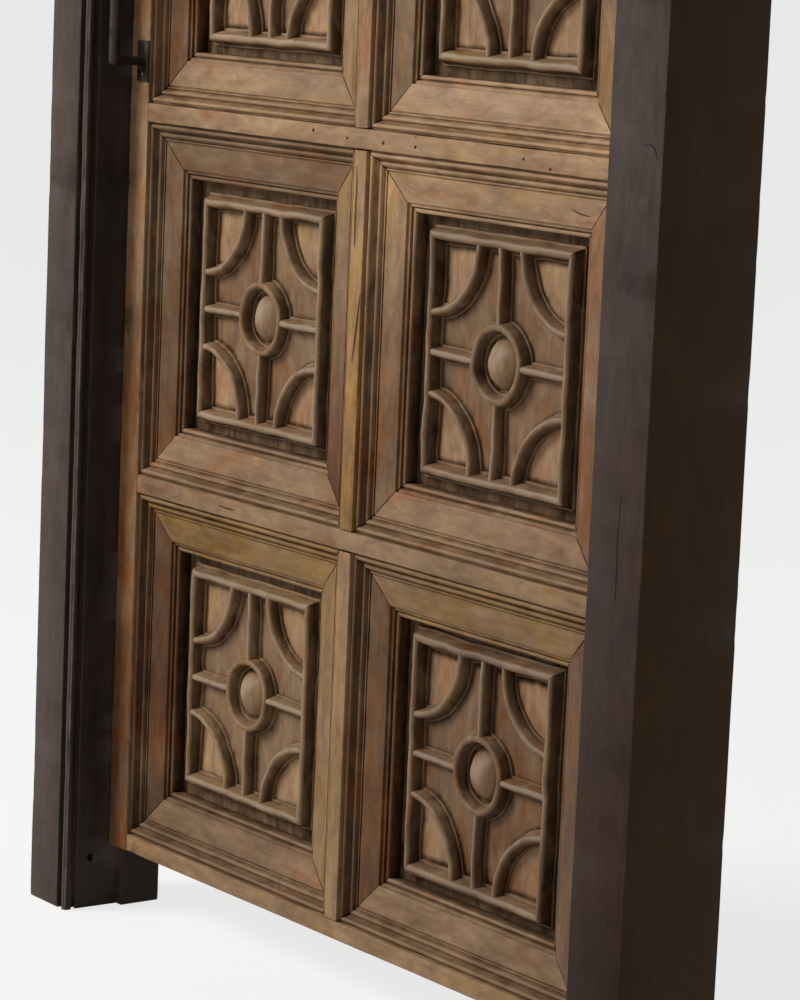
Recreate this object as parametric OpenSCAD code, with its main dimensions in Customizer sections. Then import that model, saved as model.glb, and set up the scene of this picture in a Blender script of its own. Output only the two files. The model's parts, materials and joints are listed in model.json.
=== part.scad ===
// Carved panel door, two panels wide, hung in its own rebated timber frame.
// Millimetres. The origin is on the floor, in the middle of the frame's width and depth.
// +X is to the right seen from the front, +Y goes towards the back and +Z is up.

/* [Panels] */
// Width of one panel opening
panel_w = 400; // [380:1:440]
// Height of one panel opening
panel_h = 402; // [380:1:440]
// Rows of panels
rows = 5; // [3:1:5]
// Depth of the carved ground behind the flats of the leaf
ground_d = 39; // [36:0.5:42]
// How far the back of a panel lies inside the back of the leaf
back_recess = 4; // [2:0.5:5]
// How far a panel reaches into the grooves around it
panel_tongue = 6; // [4:0.5:6]

/* [Leaf] */
// Front width of the lock stile
lock_stile_w = 38; // [36:1:60]
// Front width of the hinge stile
hinge_stile_w = 55; // [50:1:80]
// Front width of the muntins
muntin_w = 23; // [20:1:40]
// Front height of the rails between the rows
mid_rail_h = 22; // [20:1:40]
// Front height of the bottom rail
bottom_rail_h = 21; // [20:1:60]
// Front height of the top rail
top_rail_h = 42; // [36:1:80]
// Thickness of the leaf
leaf_t = 52; // [50:1:60]
// Thickness of the lip that closes in front of the rebate
lip_t = 14; // [12:0.5:16]
// Depth of the panel grooves
groove_d = 6.5; // [6:0.1:7]
// Thickness of the tenons
tenon_t = 12; // [10:0.5:16]
// Depth of the tenons' front cheek behind the flats
tenon_d = 18; // [16:0.5:20]
// Length of the rail tenons
rail_tenon_l = 18; // [12:1:20]
// Length of the muntins' stub tenons
muntin_tenon_l = 7; // [4:0.5:8]
// Shoulder above and below each tenon
tenon_shoulder = 4; // [3:0.5:5]

/* [Moulding] */
// Width of a moulding strip, from the flat's edge to its inner edge
mould_w = 60; // [58:0.5:66]
// Radius of the outer bead
bead_a_r = 2.7; // [2:0.1:3]
// Drop of the outer bead's crest below the flats
bead_a_drop = 2.9; // [2:0.1:4]
// Distance of the outer bead's middle from the flat's edge
bead_a_u = 4.2; // [3.5:0.1:4.5]
// Radius of the second bead
bead_b_r = 2.8; // [2:0.1:3]
// Drop of the second bead's crest below the flats
bead_b_drop = 9.2; // [8:0.1:10]
// Distance of the second bead's middle from the flat's edge
bead_b_u = 12.6; // [11.5:0.1:13]
// Width of the narrow fillet beside the slope
fillet_w = 2.4; // [1.5:0.1:3]
// Drop of the narrow fillet below the flats
fillet_drop = 13; // [12.5:0.1:14]
// Width of the sunk line on each side of the narrow fillet
line_w = 1; // [0.6:0.1:1.2]
// Depth of the sunk lines below what stands beside them
line_d = 1.6; // [1:0.1:2]
// Distance of the slope's outer edge from the flat's edge
slope_u = 20.5; // [20:0.1:22]
// Drop of the slope's outer edge below the flats
slope_drop = 13.5; // [13:0.1:15]
// Width of the slope
slope_w = 29.5; // [26:0.5:31]
// Drop of the slope's inner edge below the flats
slope_end_drop = 18; // [16:0.1:19]
// Width of the step inside the slope
step_w = 4; // [3:0.1:4.5]
// Drop of the step below the flats
step_drop = 21; // [20:0.1:22]
// Radius of the inner bead
bead_c_r = 2.8; // [2:0.1:3]
// Drop of the inner bead's crest below the flats
bead_c_drop = 22.6; // [21.5:0.1:24]
// Open joint at the mitres
mitre_gap = 0.3; // [0.2:0.1:0.6]

/* [Carving] */
// Distance of the carved square's sides from the flats beside them
carved_u = 79; // [74:0.5:84]
// Distance of the carved square's ends from the flats above and below them
carved_v = 75; // [72:0.5:84]
// Width of the carved square's strands at their foot
square_strand_w = 21; // [17:0.5:22]
// Width of the other strands at their foot
strand_w = 18; // [16:0.5:20]
// Height of a strand's foot, as a share of the strand's height
foot_share = 0.19; // [0.15:0.01:0.3]
// Radius of a strand's rounded back
strand_r = 6; // [5:0.1:6.5]
// Height of the square's strands above the ground
square_h = 16; // [12:0.1:17]
// Height of the quarter arcs above the ground
arc_h = 14.8; // [11:0.1:15.8]
// Radius of the quarter arcs, at their crests
arc_r = 77; // [70:0.5:80]
// Height of the ring above the ground
ring_h = 15.2; // [11:0.1:15.8]
// Radius of the ring, at its crest
ring_r = 37; // [36:0.5:40]
// Height of the spokes above the ground
spoke_h = 14; // [11:0.1:15.8]
// Radius of the middle boss
boss_r = 26; // [20:0.5:27]
// Height of the middle boss above the ground
boss_h = 14.6; // [8:0.1:16]

/* [Frame] */
// Width of a jamb, seen from the front
jamb_w = 79; // [70:1:110]
// Height of the head
head_h = 79; // [70:1:110]
// Depth of the reveal in front of the leaf's flats
reveal_d = 56; // [54:1:80]
// How far the frame goes on behind the back of the leaf
frame_back = 15; // [14:1:40]
// How far the rebate stands into the opening
rebate_w = 12; // [11:0.5:16]
// Gap between the leaf's lip and the frame
leaf_gap = 2.5; // [2.5:0.1:4]
// Gap between the lip and the rebate's face
stop_gap = 1; // [0.8:0.1:2]
// Gap between the leaf's body and the rebate
body_gap = 3.5; // [3.5:0.1:6]
// Height of the leaf's bottom edge above the floor
floor_gap = 75; // [20:1:120]
// Radius of the bead on the lock jamb's front corner
corner_bead_r = 6; // [4:0.5:7]
// Width of the sunk quirk between the corner bead and the front of the jamb
front_quirk_w = 5.6; // [3:0.1:7]
// Width of the sunk quirk between the corner bead and the reveal
side_quirk_w = 3; // [2:0.1:4]
// Side of the tenons that hold the head on the jambs
head_tenon_w = 36; // [30:1:40]
// Height of the tenons that hold the head on the jambs
head_tenon_h = 50; // [30:1:60]
// Radius of the wall-fixing holes
fixing_r = 4; // [3:0.5:5]
// Distance of the wall-fixing holes from the front of the frame
fixing_inset = 34; // [32:0.5:36]
// Height of the lower wall-fixing holes above the floor
fixing_low = 60; // [40:5:200]
// Distance of the upper wall-fixing holes below the head
fixing_top = 100; // [60:5:200]

/* [Hinges] */
// Number of hinges
hinges = 3; // [2:1:3]
// Height of a hinge
hinge_h = 100; // [80:1:130]
// Distance of the end hinges' middles from the ends of the leaf
hinge_inset = 230; // [150:5:300]
// Reach of each hinge plate from the pin
hinge_plate_w = 40; // [34:1:42]
// Thickness of the hinge plates
hinge_plate_t = 2.5; // [2:0.1:3]
// Outer radius of the barrel
barrel_r = 6; // [5:0.1:7]
// Gap between the barrel and the wood
barrel_gap = 0.5; // [0.4:0.1:1]
// Knuckles in a barrel
knuckles = 5; // [3:2:7]
// Gap between knuckles
knuckle_gap = 0.4; // [0.2:0.1:0.8]
// Radius of the pin
pin_r = 3; // [2:0.1:3.5]
// Running clearance between the pin and the knuckles
pin_fit = 0.05; // [0.02:0.01:0.09]
// Radius of the balls on the ends of the pin
ball_r = 5; // [4:0.1:6]

/* [Pull and bolt] */
// Height of the pull's middle above the bottom of the leaf
pull_z = 980; // [900:5:1100]
// Radius of the pull's grip
grip_r = 6; // [5:0.1:8]
// Length of the pull's grip between its posts
grip_l = 130; // [100:1:160]
// Distance of the grip's axis in front of the flats
grip_d = 40; // [36:0.5:46]
// Radius of the pull's posts
post_r = 5; // [4:0.1:6]
// Width of the pull's end plates
pull_plate_w = 22; // [18:0.5:24]
// Height of the pull's end plates
pull_plate_h = 46; // [40:1:60]
// Thickness of the iron plates
plate_t = 2; // [1.5:0.1:2.5]
// Height of the bolt's bar
bar_h = 11; // [9:0.1:12]
// Thickness of the bolt's bar
bar_t = 5; // [4:0.1:6]
// Length of the bolt's bar
bar_l = 110; // [90:1:130]
// Travel of the bolt
bolt_travel = 16; // [12:0.5:18]
// Width of the bolt's staples
staple_w = 9; // [7:0.5:12]
// Thickness of the bolt's staples
staple_t = 2; // [1.5:0.1:2.2]
// Radius of the bolt's knob
knob_r = 5; // [4:0.1:6]
// Height of the bolt's knob above the bar
knob_h = 5; // [3:0.1:6]
// Gap between the bolt and what guides it
bolt_gap = 0.3; // [0.2:0.05:0.5]
// Height of the plate on the stile that carries the bolt
bolt_head_h = 54; // [48:1:70]
// Height of the keep in the jamb
keep_h = 46; // [42:1:60]
// Width of the keep in the jamb
keep_w = 13; // [12:0.5:14]

/* [Screws] */
// Radius of the screws' shanks
screw_r = 1.8; // [1.5:0.1:2]
// Length of the screws under their heads
screw_l = 18; // [14:0.5:20]
// Radius of the screws' heads
screw_head_r = 3.6; // [3:0.1:4]
// Height of the screws' heads
screw_head_h = 1.6; // [1.2:0.1:2]

/* [Hidden] */
$fn = 64;
// Overrun of every cut
over = 1;
// Clearance in the joinery and around the screws
fit = 0.2;
// How far a carved detail is rooted in its board, as a share of its height
root_share = 0.16;
// How far the carved square's strands lap at its mitred corners
mitre_lap = 0.4;
door_wood = "#8c6b4c";
frame_wood = "#4a3c34";
iron = "#3a3734";

leaf_w = lock_stile_w + 2 * panel_w + muntin_w + hinge_stile_w;
leaf_h = bottom_rail_h + rows * panel_h + (rows - 1) * mid_rail_h + top_rail_h;
frame_d = reveal_d + leaf_t + frame_back;
front_y = -frame_d / 2;
back_y = frame_d / 2;
leaf_y = front_y + reveal_d;
leaf_back_y = leaf_y + leaf_t;
leaf_x0 = -leaf_w / 2;
leaf_x1 = leaf_w / 2;
leaf_z0 = floor_gap;
leaf_z1 = floor_gap + leaf_h;
reveal_x = leaf_x1 + leaf_gap;
outer_x = reveal_x + jamb_w;
stop_x = reveal_x - rebate_w;
stop_y = leaf_y + lip_t + stop_gap;
head_z = leaf_z1 + leaf_gap;
body_x = stop_x - body_gap;
body_z1 = head_z - rebate_w - body_gap;

rail_x0 = leaf_x0 + lock_stile_w;
rail_x1 = leaf_x1 - hinge_stile_w;
muntin_x0 = rail_x0 + panel_w;
muntin_x1 = muntin_x0 + muntin_w;
column_x = [rail_x0, muntin_x1];
top_rail_z = leaf_z1 - top_rail_h;
function row_z(row) = leaf_z0 + bottom_rail_h + (row - 1) * (panel_h + mid_rail_h);
function rail_z(i) = row_z(i) + panel_h;

groove_y0 = leaf_y + ground_d - fit;
groove_y1 = leaf_back_y - back_recess + fit;
panel_t = leaf_t - back_recess - ground_d;
tenon_y0 = leaf_y + tenon_d;
tenon_y1 = tenon_y0 + tenon_t;

pin_x = reveal_x - barrel_r - barrel_gap;
pin_y = leaf_y - barrel_r - barrel_gap;
knuckle_h = hinge_h / knuckles;
function hinge_z(i) = leaf_z0 + hinge_inset + (i - 1) * (leaf_h - 2 * hinge_inset) / (hinges - 1);
// Screw places on a hinge plate: share of its reach, share of its height
hinge_screw_shares = [[0.45, -0.38], [0.78, -0.14], [0.45, 0.14], [0.78, 0.38]];

// The grip stands as far from the stile's inner edge as its end plates allow
pull_x = rail_x0 - pull_plate_w / 2;
post_z = [-grip_l / 2, grip_l / 2];
pull_screw_dz = pull_plate_h / 2 - 2 * screw_head_r;
pull_mid_z = leaf_z0 + pull_z;

bolt_rail = 2;
bolt_z = rail_z(bolt_rail) + mid_rail_h / 2;
bolt_plate_h = bar_h + 2 * (bolt_gap + staple_t);
bar_y0 = leaf_back_y + plate_t + bolt_gap;
bar_y1 = bar_y0 + bar_t;
bar_y = (bar_y0 + bar_y1) / 2;
bar_x0 = -body_x + bolt_gap;
bar_x1 = bar_x0 + bar_l;
bolt_head_x1 = rail_x0 - fit;
bolt_plate_x1 = bar_x1 + 4 * screw_head_r;
staple_a_x = bolt_head_x1;
staple_b_x = bar_x1 - staple_w;
knob_x = staple_b_x - knob_r - bolt_gap;
bolt_screw_dz = bolt_head_h / 2 - 2 * screw_head_r;
bolt_head_screw_x = (-body_x + bolt_head_x1) / 2;
keep_screw_dz = keep_h / 2 - 2 * screw_head_r;

rows_list = [for (row = [1:rows]) row];
hinge_list = [for (i = [1:hinges]) i];
rail_list = [for (i = [1:rows - 1]) i];
sides = ["left", "right"];

// Box between two opposite corners
module block(low, high) {
    translate(low) cube(high - low);
}

// Everything that the leaf's rebated edges leave out behind the lip
module leaf_rebate() {
    y0 = leaf_y + lip_t;
    low_z = leaf_z0 - over;
    high_z = leaf_z1 + over;
    block([leaf_x0 - over, y0, low_z], [-body_x, leaf_back_y + over, high_z]);
    block([body_x, y0, low_z], [leaf_x1 + over, leaf_back_y + over, high_z]);
    block([leaf_x0 - over, y0, body_z1], [leaf_x1 + over, leaf_back_y + over, high_z]);
}

// Tenon on the end of a rail, or with slack its mortise
module rail_tenon(x0, x1, z0, z1, slack) {
    block(
        [x0 - slack, tenon_y0 - slack, z0 + tenon_shoulder - slack],
        [x1 + slack, tenon_y1 + slack, z1 - tenon_shoulder + slack]
    );
}

module rail_tenons(z0, z1, slack) {
    rail_tenon(rail_x0 - rail_tenon_l, rail_x0, z0, z1, slack);
    rail_tenon(rail_x1, rail_x1 + rail_tenon_l, z0, z1, slack);
}

module all_rail_tenons(slack) {
    rail_tenons(leaf_z0, leaf_z0 + bottom_rail_h, slack);
    rail_tenons(top_rail_z, body_z1, slack);
    for (i = rail_list) rail_tenons(rail_z(i), rail_z(i) + mid_rail_h, slack);
}

// Stub tenons of one row's muntin, or with slack their mortises
module muntin_tenons(row, slack) {
    block(
        [muntin_x0 + tenon_shoulder - slack, tenon_y0 - slack, row_z(row) - muntin_tenon_l - slack],
        [muntin_x1 - tenon_shoulder + slack, tenon_y1 + slack, row_z(row)]
    );
    block(
        [muntin_x0 + tenon_shoulder - slack, tenon_y0 - slack, rail_z(row)],
        [muntin_x1 - tenon_shoulder + slack, tenon_y1 + slack, rail_z(row) + muntin_tenon_l + slack]
    );
}

// Groove for the panels in an upright that ends at x, cut towards the sign of reach
module upright_groove(x, reach) {
    x_in = x + reach * groove_d;
    x_out = x - reach * over;
    block(
        [min(x_in, x_out), groove_y0, leaf_z0 - over],
        [max(x_in, x_out), groove_y1, leaf_z1 + over]
    );
}

// Groove for the panels in a rail that ends at z, cut towards the sign of reach
module rail_groove(z, reach) {
    z_in = z + reach * groove_d;
    z_out = z - reach * over;
    block(
        [rail_x0 - over, groove_y0, min(z_in, z_out)],
        [rail_x1 + over, groove_y1, max(z_in, z_out)]
    );
}

// Round-headed screw with its head on the plane z = 0 and its shank below
module screw() {
    dome_r = (screw_head_r ^ 2 + screw_head_h ^ 2) / (2 * screw_head_h);
    translate([0, 0, -screw_l]) cylinder(r = screw_r, h = screw_l);
    rotate_extrude() intersection() {
        translate([0, screw_head_h - dome_r]) circle(r = dome_r);
        square([screw_head_r, screw_head_h]);
    }
}

// The hole that a screw's shank needs
module screw_hole() {
    translate([0, 0, -screw_l - fit]) cylinder(r = screw_r + fit, h = screw_l + fit + over);
}

// Places of the screws, each with +Z out of the wood
module at_hinge_frame_screws() {
    for (i = hinge_list, s = hinge_screw_shares)
        translate([reveal_x - hinge_plate_t, pin_y - s[0] * hinge_plate_w, hinge_z(i) + s[1] * hinge_h])
            rotate([0, -90, 0]) children();
}

module at_hinge_door_screws() {
    for (i = hinge_list, s = hinge_screw_shares)
        translate([pin_x - s[0] * hinge_plate_w, leaf_y - hinge_plate_t, hinge_z(i) + s[1] * hinge_h])
            rotate([90, 0, 0]) children();
}

module at_pull_screws() {
    for (z = post_z)
        translate([pull_x, leaf_y - plate_t, pull_mid_z + z + sign(z) * pull_screw_dz])
            rotate([90, 0, 0]) children();
}

module at_bolt_screws() {
    y = leaf_back_y + plate_t;
    for (dz = [-bolt_screw_dz, bolt_screw_dz])
        translate([bolt_head_screw_x, y, bolt_z + dz]) rotate([-90, 0, 0]) children();
    translate([bolt_plate_x1 - 2 * screw_head_r, y, bolt_z]) rotate([-90, 0, 0]) children();
}

module at_keep_screws() {
    for (dz = [-keep_screw_dz, keep_screw_dz])
        translate([-stop_x, bar_y, bolt_z + dz]) rotate([0, 90, 0]) children();
}

// Wall-fixing holes through a jamb that runs outwards from x
module fixing_holes(x) {
    for (z = [fixing_low, head_z - fixing_top])
        translate([x - over, front_y + fixing_inset, z])
            rotate([0, 90, 0]) cylinder(r = fixing_r, h = jamb_w + 2 * over);
}

// Plan of a rebated jamb, with the outer face on x = 0 and the opening towards +x
module jamb_plan() {
    translate([0, front_y]) square([jamb_w, frame_d]);
    translate([0, stop_y]) square([jamb_w + rebate_w, back_y - stop_y]);
}

// Plan of the beaded front corner: what is cut, then the bead itself
module corner_quirks() {
    translate([jamb_w - 2 * corner_bead_r - front_quirk_w, front_y - over])
        square([2 * corner_bead_r + front_quirk_w + over, corner_bead_r + over]);
    translate([jamb_w - corner_bead_r, front_y - over])
        square([corner_bead_r + over, 2 * corner_bead_r + side_quirk_w + over]);
}

module corner_bead() {
    translate([jamb_w - corner_bead_r, front_y + corner_bead_r]) circle(r = corner_bead_r);
}

// Tenon on top of a jamb that runs outwards from x, or with slack its mortise
module head_tenon(x, slack) {
    half = head_tenon_w / 2 + slack;
    block(
        [x + jamb_w / 2 - half, -half, head_z],
        [x + jamb_w / 2 + half, half, head_z + head_tenon_h + slack]
    );
}

// Room for the bolt in the jamb, behind the keep
module keep_pocket() {
    gap = bolt_gap + fit;
    block(
        [-stop_x - bolt_travel - fit, bar_y0 - gap, bolt_z - bar_h / 2 - gap],
        [-stop_x + over, bar_y1 + gap, bolt_z + bar_h / 2 + gap]
    );
}

module left_jamb() {
    color(frame_wood) difference() {
        union() {
            translate([-outer_x, 0, 0]) linear_extrude(height = head_z) {
                difference() {
                    jamb_plan();
                    corner_quirks();
                }
                corner_bead();
            }
            head_tenon(-outer_x, 0);
        }
        fixing_holes(-outer_x);
        keep_pocket();
        block(
            [-stop_x - plate_t, bar_y - keep_w / 2 - fit, bolt_z - keep_h / 2 - fit],
            [-stop_x + over, bar_y + keep_w / 2 + fit, bolt_z + keep_h / 2 + fit]
        );
        at_keep_screws() screw_hole();
    }
}

module right_jamb() {
    color(frame_wood) difference() {
        union() {
            translate([outer_x, 0, 0]) mirror([1, 0, 0]) linear_extrude(height = head_z) jamb_plan();
            head_tenon(reveal_x, 0);
        }
        fixing_holes(reveal_x);
        at_hinge_frame_screws() screw_hole();
    }
}

module head() {
    color(frame_wood) difference() {
        union() {
            block([-outer_x, front_y, head_z], [outer_x, back_y, head_z + head_h]);
            block([-stop_x, stop_y, head_z - rebate_w], [stop_x, back_y, head_z]);
        }
        head_tenon(-outer_x, fit);
        head_tenon(reveal_x, fit);
    }
}

module left_stile() {
    color(door_wood) difference() {
        block([leaf_x0, leaf_y, leaf_z0], [rail_x0, leaf_back_y, leaf_z1]);
        leaf_rebate();
        upright_groove(rail_x0, -1);
        all_rail_tenons(fit);
        at_pull_screws() screw_hole();
        at_bolt_screws() screw_hole();
    }
}

module right_stile() {
    color(door_wood) difference() {
        block([rail_x1, leaf_y, leaf_z0], [leaf_x1, leaf_back_y, leaf_z1]);
        leaf_rebate();
        upright_groove(rail_x1, 1);
        all_rail_tenons(fit);
        at_hinge_door_screws() screw_hole();
    }
}

module bottom_rail() {
    z1 = leaf_z0 + bottom_rail_h;
    color(door_wood) difference() {
        union() {
            block([rail_x0, leaf_y, leaf_z0], [rail_x1, leaf_back_y, z1]);
            rail_tenons(leaf_z0, z1, 0);
        }
        rail_groove(z1, -1);
        muntin_tenons(1, fit);
    }
}

module top_rail() {
    color(door_wood) difference() {
        union() {
            block([rail_x0, leaf_y, top_rail_z], [rail_x1, leaf_back_y, leaf_z1]);
            rail_tenons(top_rail_z, body_z1, 0);
        }
        leaf_rebate();
        rail_groove(top_rail_z, 1);
        muntin_tenons(rows, fit);
    }
}

module mid_rail(i) {
    z0 = rail_z(i);
    z1 = z0 + mid_rail_h;
    color(door_wood) difference() {
        union() {
            block([rail_x0, leaf_y, z0], [rail_x1, leaf_back_y, z1]);
            rail_tenons(z0, z1, 0);
        }
        rail_groove(z0, 1);
        rail_groove(z1, -1);
        muntin_tenons(i, fit);
        muntin_tenons(i + 1, fit);
        if (i == bolt_rail) at_bolt_screws() screw_hole();
    }
}

module muntin(row) {
    color(door_wood) difference() {
        union() {
            block([muntin_x0, leaf_y, row_z(row)], [muntin_x1, leaf_back_y, rail_z(row)]);
            muntin_tenons(row, 0);
        }
        upright_groove(muntin_x0, 1);
        upright_groove(muntin_x1, -1);
    }
}

// Puts a panel's own frame on the leaf: x across, y up and z towards the front, from the ground
module at_panel(side, row) {
    x = column_x[side == "left" ? 0 : 1] + panel_w / 2;
    translate([x, leaf_y + ground_d, row_z(row) + panel_h / 2]) rotate([90, 0, 0]) children();
}

// Four strips mitred around a w by h opening; the section is drawn as distance inwards, height
module mitred_strips(w, h, strip_w, gap) {
    for (turn = [0:3]) {
        along = turn % 2 == 0 ? w : h;
        half = (turn % 2 == 0 ? h : w) / 2;
        long_end = along / 2 - gap / 2;
        short_end = along / 2 - strip_w - gap / 2;
        rotate([0, 0, 90 * turn]) translate([0, -half, 0]) intersection() {
            translate([-along / 2, 0, 0]) rotate([90, 0, 90]) linear_extrude(height = along) children();
            translate([0, 0, -leaf_t]) linear_extrude(height = 2 * leaf_t) polygon([
                [-long_end, 0],
                [long_end, 0],
                [short_end, strip_w],
                [-short_end, strip_w]
            ]);
        }
    }
}

// Section of a moulding strip: steps, then its beads; heights count from the ground
module mould_section() {
    second_u = bead_b_u - bead_b_r;
    fillet_u = slope_u - line_w - fillet_w;
    slope_end_u = slope_u + slope_w;
    inner_u = slope_end_u + step_w;
    inner_h = ground_d - bead_c_drop - bead_c_r;
    polygon([
        [0, 0],
        [0, ground_d - bead_a_drop - bead_a_r],
        [bead_a_u + bead_a_r, ground_d - bead_a_drop - bead_a_r],
        [second_u, ground_d - bead_b_drop - bead_b_r],
        [fillet_u - line_w, ground_d - bead_b_drop - bead_b_r],
        [fillet_u, ground_d - fillet_drop - line_d],
        [fillet_u, ground_d - fillet_drop],
        [fillet_u + fillet_w, ground_d - fillet_drop],
        [fillet_u + fillet_w, ground_d - slope_drop - line_d],
        [slope_u, ground_d - slope_drop - line_d],
        [slope_u, ground_d - slope_drop],
        [slope_end_u, ground_d - slope_end_drop],
        [slope_end_u, ground_d - step_drop],
        [inner_u, ground_d - step_drop],
        [inner_u, inner_h],
        [mould_w, inner_h],
        [mould_w, 0]
    ]);
    translate([bead_a_u, ground_d - bead_a_drop - bead_a_r]) circle(r = bead_a_r);
    translate([bead_b_u, ground_d - bead_b_drop - bead_b_r]) circle(r = bead_b_r);
    translate([mould_w - bead_c_r, inner_h]) circle(r = bead_c_r);
}

module moulding(side, row) {
    color(door_wood) at_panel(side, row)
        mitred_strips(panel_w, panel_h, mould_w, mitre_gap) mould_section();
}

// Section of a carved strand: a low foot under a rounded back, rooted in the board
module strand_section(w, h) {
    root = root_share * h;
    translate([-w / 2, -root]) square([w, root + foot_share * h]);
    translate([-strand_r, -root]) square([2 * strand_r, root + h - strand_r]);
    translate([0, h - strand_r]) circle(r = strand_r);
}

// Relief of a panel: a square, quarter arcs in its corners, spokes, a ring and a domed boss
module carving() {
    square_w = panel_w - 2 * carved_u;
    square_l = panel_h - 2 * carved_v;
    crest_x = (square_w - square_strand_w) / 2;
    crest_y = (square_l - square_strand_w) / 2;
    dome_r = (boss_r ^ 2 + boss_h ^ 2) / (2 * boss_h);
    boss_root = root_share * boss_h;
    mitred_strips(square_w, square_l, square_strand_w, -mitre_lap)
        translate([square_strand_w / 2, 0]) strand_section(square_strand_w, square_h);
    for (turn = [0:3]) {
        x = (turn == 0 || turn == 3) ? -crest_x : crest_x;
        y = turn < 2 ? -crest_y : crest_y;
        reach = turn % 2 == 0 ? crest_y : crest_x;
        translate([x, y, 0]) rotate([0, 0, 90 * turn])
            rotate_extrude(angle = 90) translate([arc_r, 0]) strand_section(strand_w, arc_h);
        rotate([0, 0, 90 * turn]) translate([0, -reach, 0])
            rotate([-90, 0, 0]) mirror([0, 1, 0])
                linear_extrude(height = reach - ring_r) strand_section(strand_w, spoke_h);
    }
    rotate_extrude() translate([ring_r, 0]) strand_section(strand_w, ring_h);
    rotate_extrude() intersection() {
        translate([0, boss_h - dome_r]) circle(r = dome_r);
        translate([0, -boss_root]) square([boss_r, boss_h + boss_root]);
    }
}

module panel(side, row) {
    board_w = panel_w + 2 * panel_tongue;
    board_h = panel_h + 2 * panel_tongue;
    color(door_wood) at_panel(side, row) {
        translate([-board_w / 2, -board_h / 2, -panel_t]) cube([board_w, board_h, panel_t]);
        carving();
    }
}

// Knuckles of a hinge, every second one from the first, with webs to a plate along +x
module knuckle_row(first) {
    web_l = barrel_r + barrel_gap + over;
    for (k = [first:2:knuckles - 1])
        translate([0, 0, -hinge_h / 2 + k * knuckle_h + knuckle_gap / 2]) {
            cylinder(r = barrel_r, h = knuckle_h - knuckle_gap);
            translate([0, barrel_r + barrel_gap - hinge_plate_t, 0])
                cube([web_l, hinge_plate_t, knuckle_h - knuckle_gap]);
        }
}

// One hinge leaf about its pin: the plate lies along +x, behind the barrel in +y
module hinge_leaf(first) {
    plate_x0 = barrel_r + barrel_gap + over;
    difference() {
        union() {
            knuckle_row(first);
            translate([plate_x0, barrel_r + barrel_gap - hinge_plate_t, -hinge_h / 2])
                cube([hinge_plate_w - plate_x0, hinge_plate_t, hinge_h]);
        }
        translate([0, 0, -hinge_h / 2 - over]) cylinder(r = pin_r + pin_fit, h = hinge_h + 2 * over);
        for (s = hinge_screw_shares)
            translate([s[0] * hinge_plate_w, barrel_r + barrel_gap, s[1] * hinge_h])
                rotate([90, 0, 0]) translate([0, 0, -over])
                    cylinder(r = screw_r + fit, h = hinge_plate_t + 2 * over);
    }
}

module hinge_frame_leaf(i) {
    color(iron) translate([pin_x, pin_y, hinge_z(i)]) rotate([0, 0, -90]) hinge_leaf(0);
}

module hinge_door_leaf(i) {
    color(iron) translate([pin_x, pin_y, hinge_z(i)]) mirror([1, 0, 0]) hinge_leaf(1);
}

module hinge_pin(i) {
    color(iron) translate([pin_x, pin_y, hinge_z(i)]) {
        translate([0, 0, -hinge_h / 2 - over]) cylinder(r = pin_r, h = hinge_h + 2 * over);
        for (end = [-1, 1])
            translate([0, 0, end * (hinge_h / 2 + ball_r)]) sphere(r = ball_r);
    }
}

module hinge_frame_screws() {
    color(iron) at_hinge_frame_screws() screw();
}

module hinge_door_screws() {
    color(iron) at_hinge_door_screws() screw();
}

module front_pull() {
    grip_y = leaf_y - grip_d;
    color(iron) difference() {
        translate([pull_x, 0, pull_mid_z]) {
            translate([0, grip_y, -grip_l / 2]) cylinder(r = grip_r, h = grip_l);
            for (z = post_z) {
                translate([0, grip_y, z]) sphere(r = grip_r);
                translate([0, leaf_y, z]) rotate([90, 0, 0]) cylinder(r = post_r, h = grip_d);
                translate([-pull_plate_w / 2, leaf_y - plate_t, z - pull_plate_h / 2])
                    cube([pull_plate_w, plate_t, pull_plate_h]);
            }
        }
        at_pull_screws() screw_hole();
    }
}

module pull_screws() {
    color(iron) at_pull_screws() screw();
}

// Staple over the bolt's bar, starting at x
module bolt_staple(x) {
    inner_h = bar_h / 2 + bolt_gap;
    top_y = bar_y1 + bolt_gap + staple_t;
    difference() {
        block(
            [x, leaf_back_y, bolt_z - inner_h - staple_t],
            [x + staple_w, top_y, bolt_z + inner_h + staple_t]
        );
        block(
            [x - over, leaf_back_y + plate_t, bolt_z - inner_h],
            [x + staple_w + over, bar_y1 + bolt_gap, bolt_z + inner_h]
        );
    }
}

module bolt_plate() {
    plate_y1 = leaf_back_y + plate_t;
    color(iron) difference() {
        union() {
            block(
                [-body_x + bolt_gap, leaf_back_y, bolt_z - bolt_head_h / 2],
                [bolt_head_x1, plate_y1, bolt_z + bolt_head_h / 2]
            );
            block(
                [-body_x + bolt_gap, leaf_back_y, bolt_z - bolt_plate_h / 2],
                [bolt_plate_x1, plate_y1, bolt_z + bolt_plate_h / 2]
            );
            bolt_staple(staple_a_x);
            bolt_staple(staple_b_x);
        }
        at_bolt_screws() screw_hole();
    }
}

module bolt_bar() {
    color(iron) {
        block([bar_x0, bar_y0, bolt_z - bar_h / 2], [bar_x1, bar_y1, bolt_z + bar_h / 2]);
        translate([knob_x, bar_y0, bolt_z]) rotate([-90, 0, 0]) cylinder(r = knob_r, h = bar_t + knob_h);
    }
}

module bolt_screws() {
    color(iron) at_bolt_screws() screw();
}

module bolt_keep() {
    gap = bolt_gap;
    color(iron) difference() {
        block(
            [-stop_x - plate_t, bar_y - keep_w / 2, bolt_z - keep_h / 2],
            [-stop_x, bar_y + keep_w / 2, bolt_z + keep_h / 2]
        );
        block(
            [-stop_x - plate_t - over, bar_y0 - gap, bolt_z - bar_h / 2 - gap],
            [-stop_x + over, bar_y1 + gap, bolt_z + bar_h / 2 + gap]
        );
        at_keep_screws() screw_hole();
    }
}

module keep_screws() {
    color(iron) at_keep_screws() screw();
}

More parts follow.
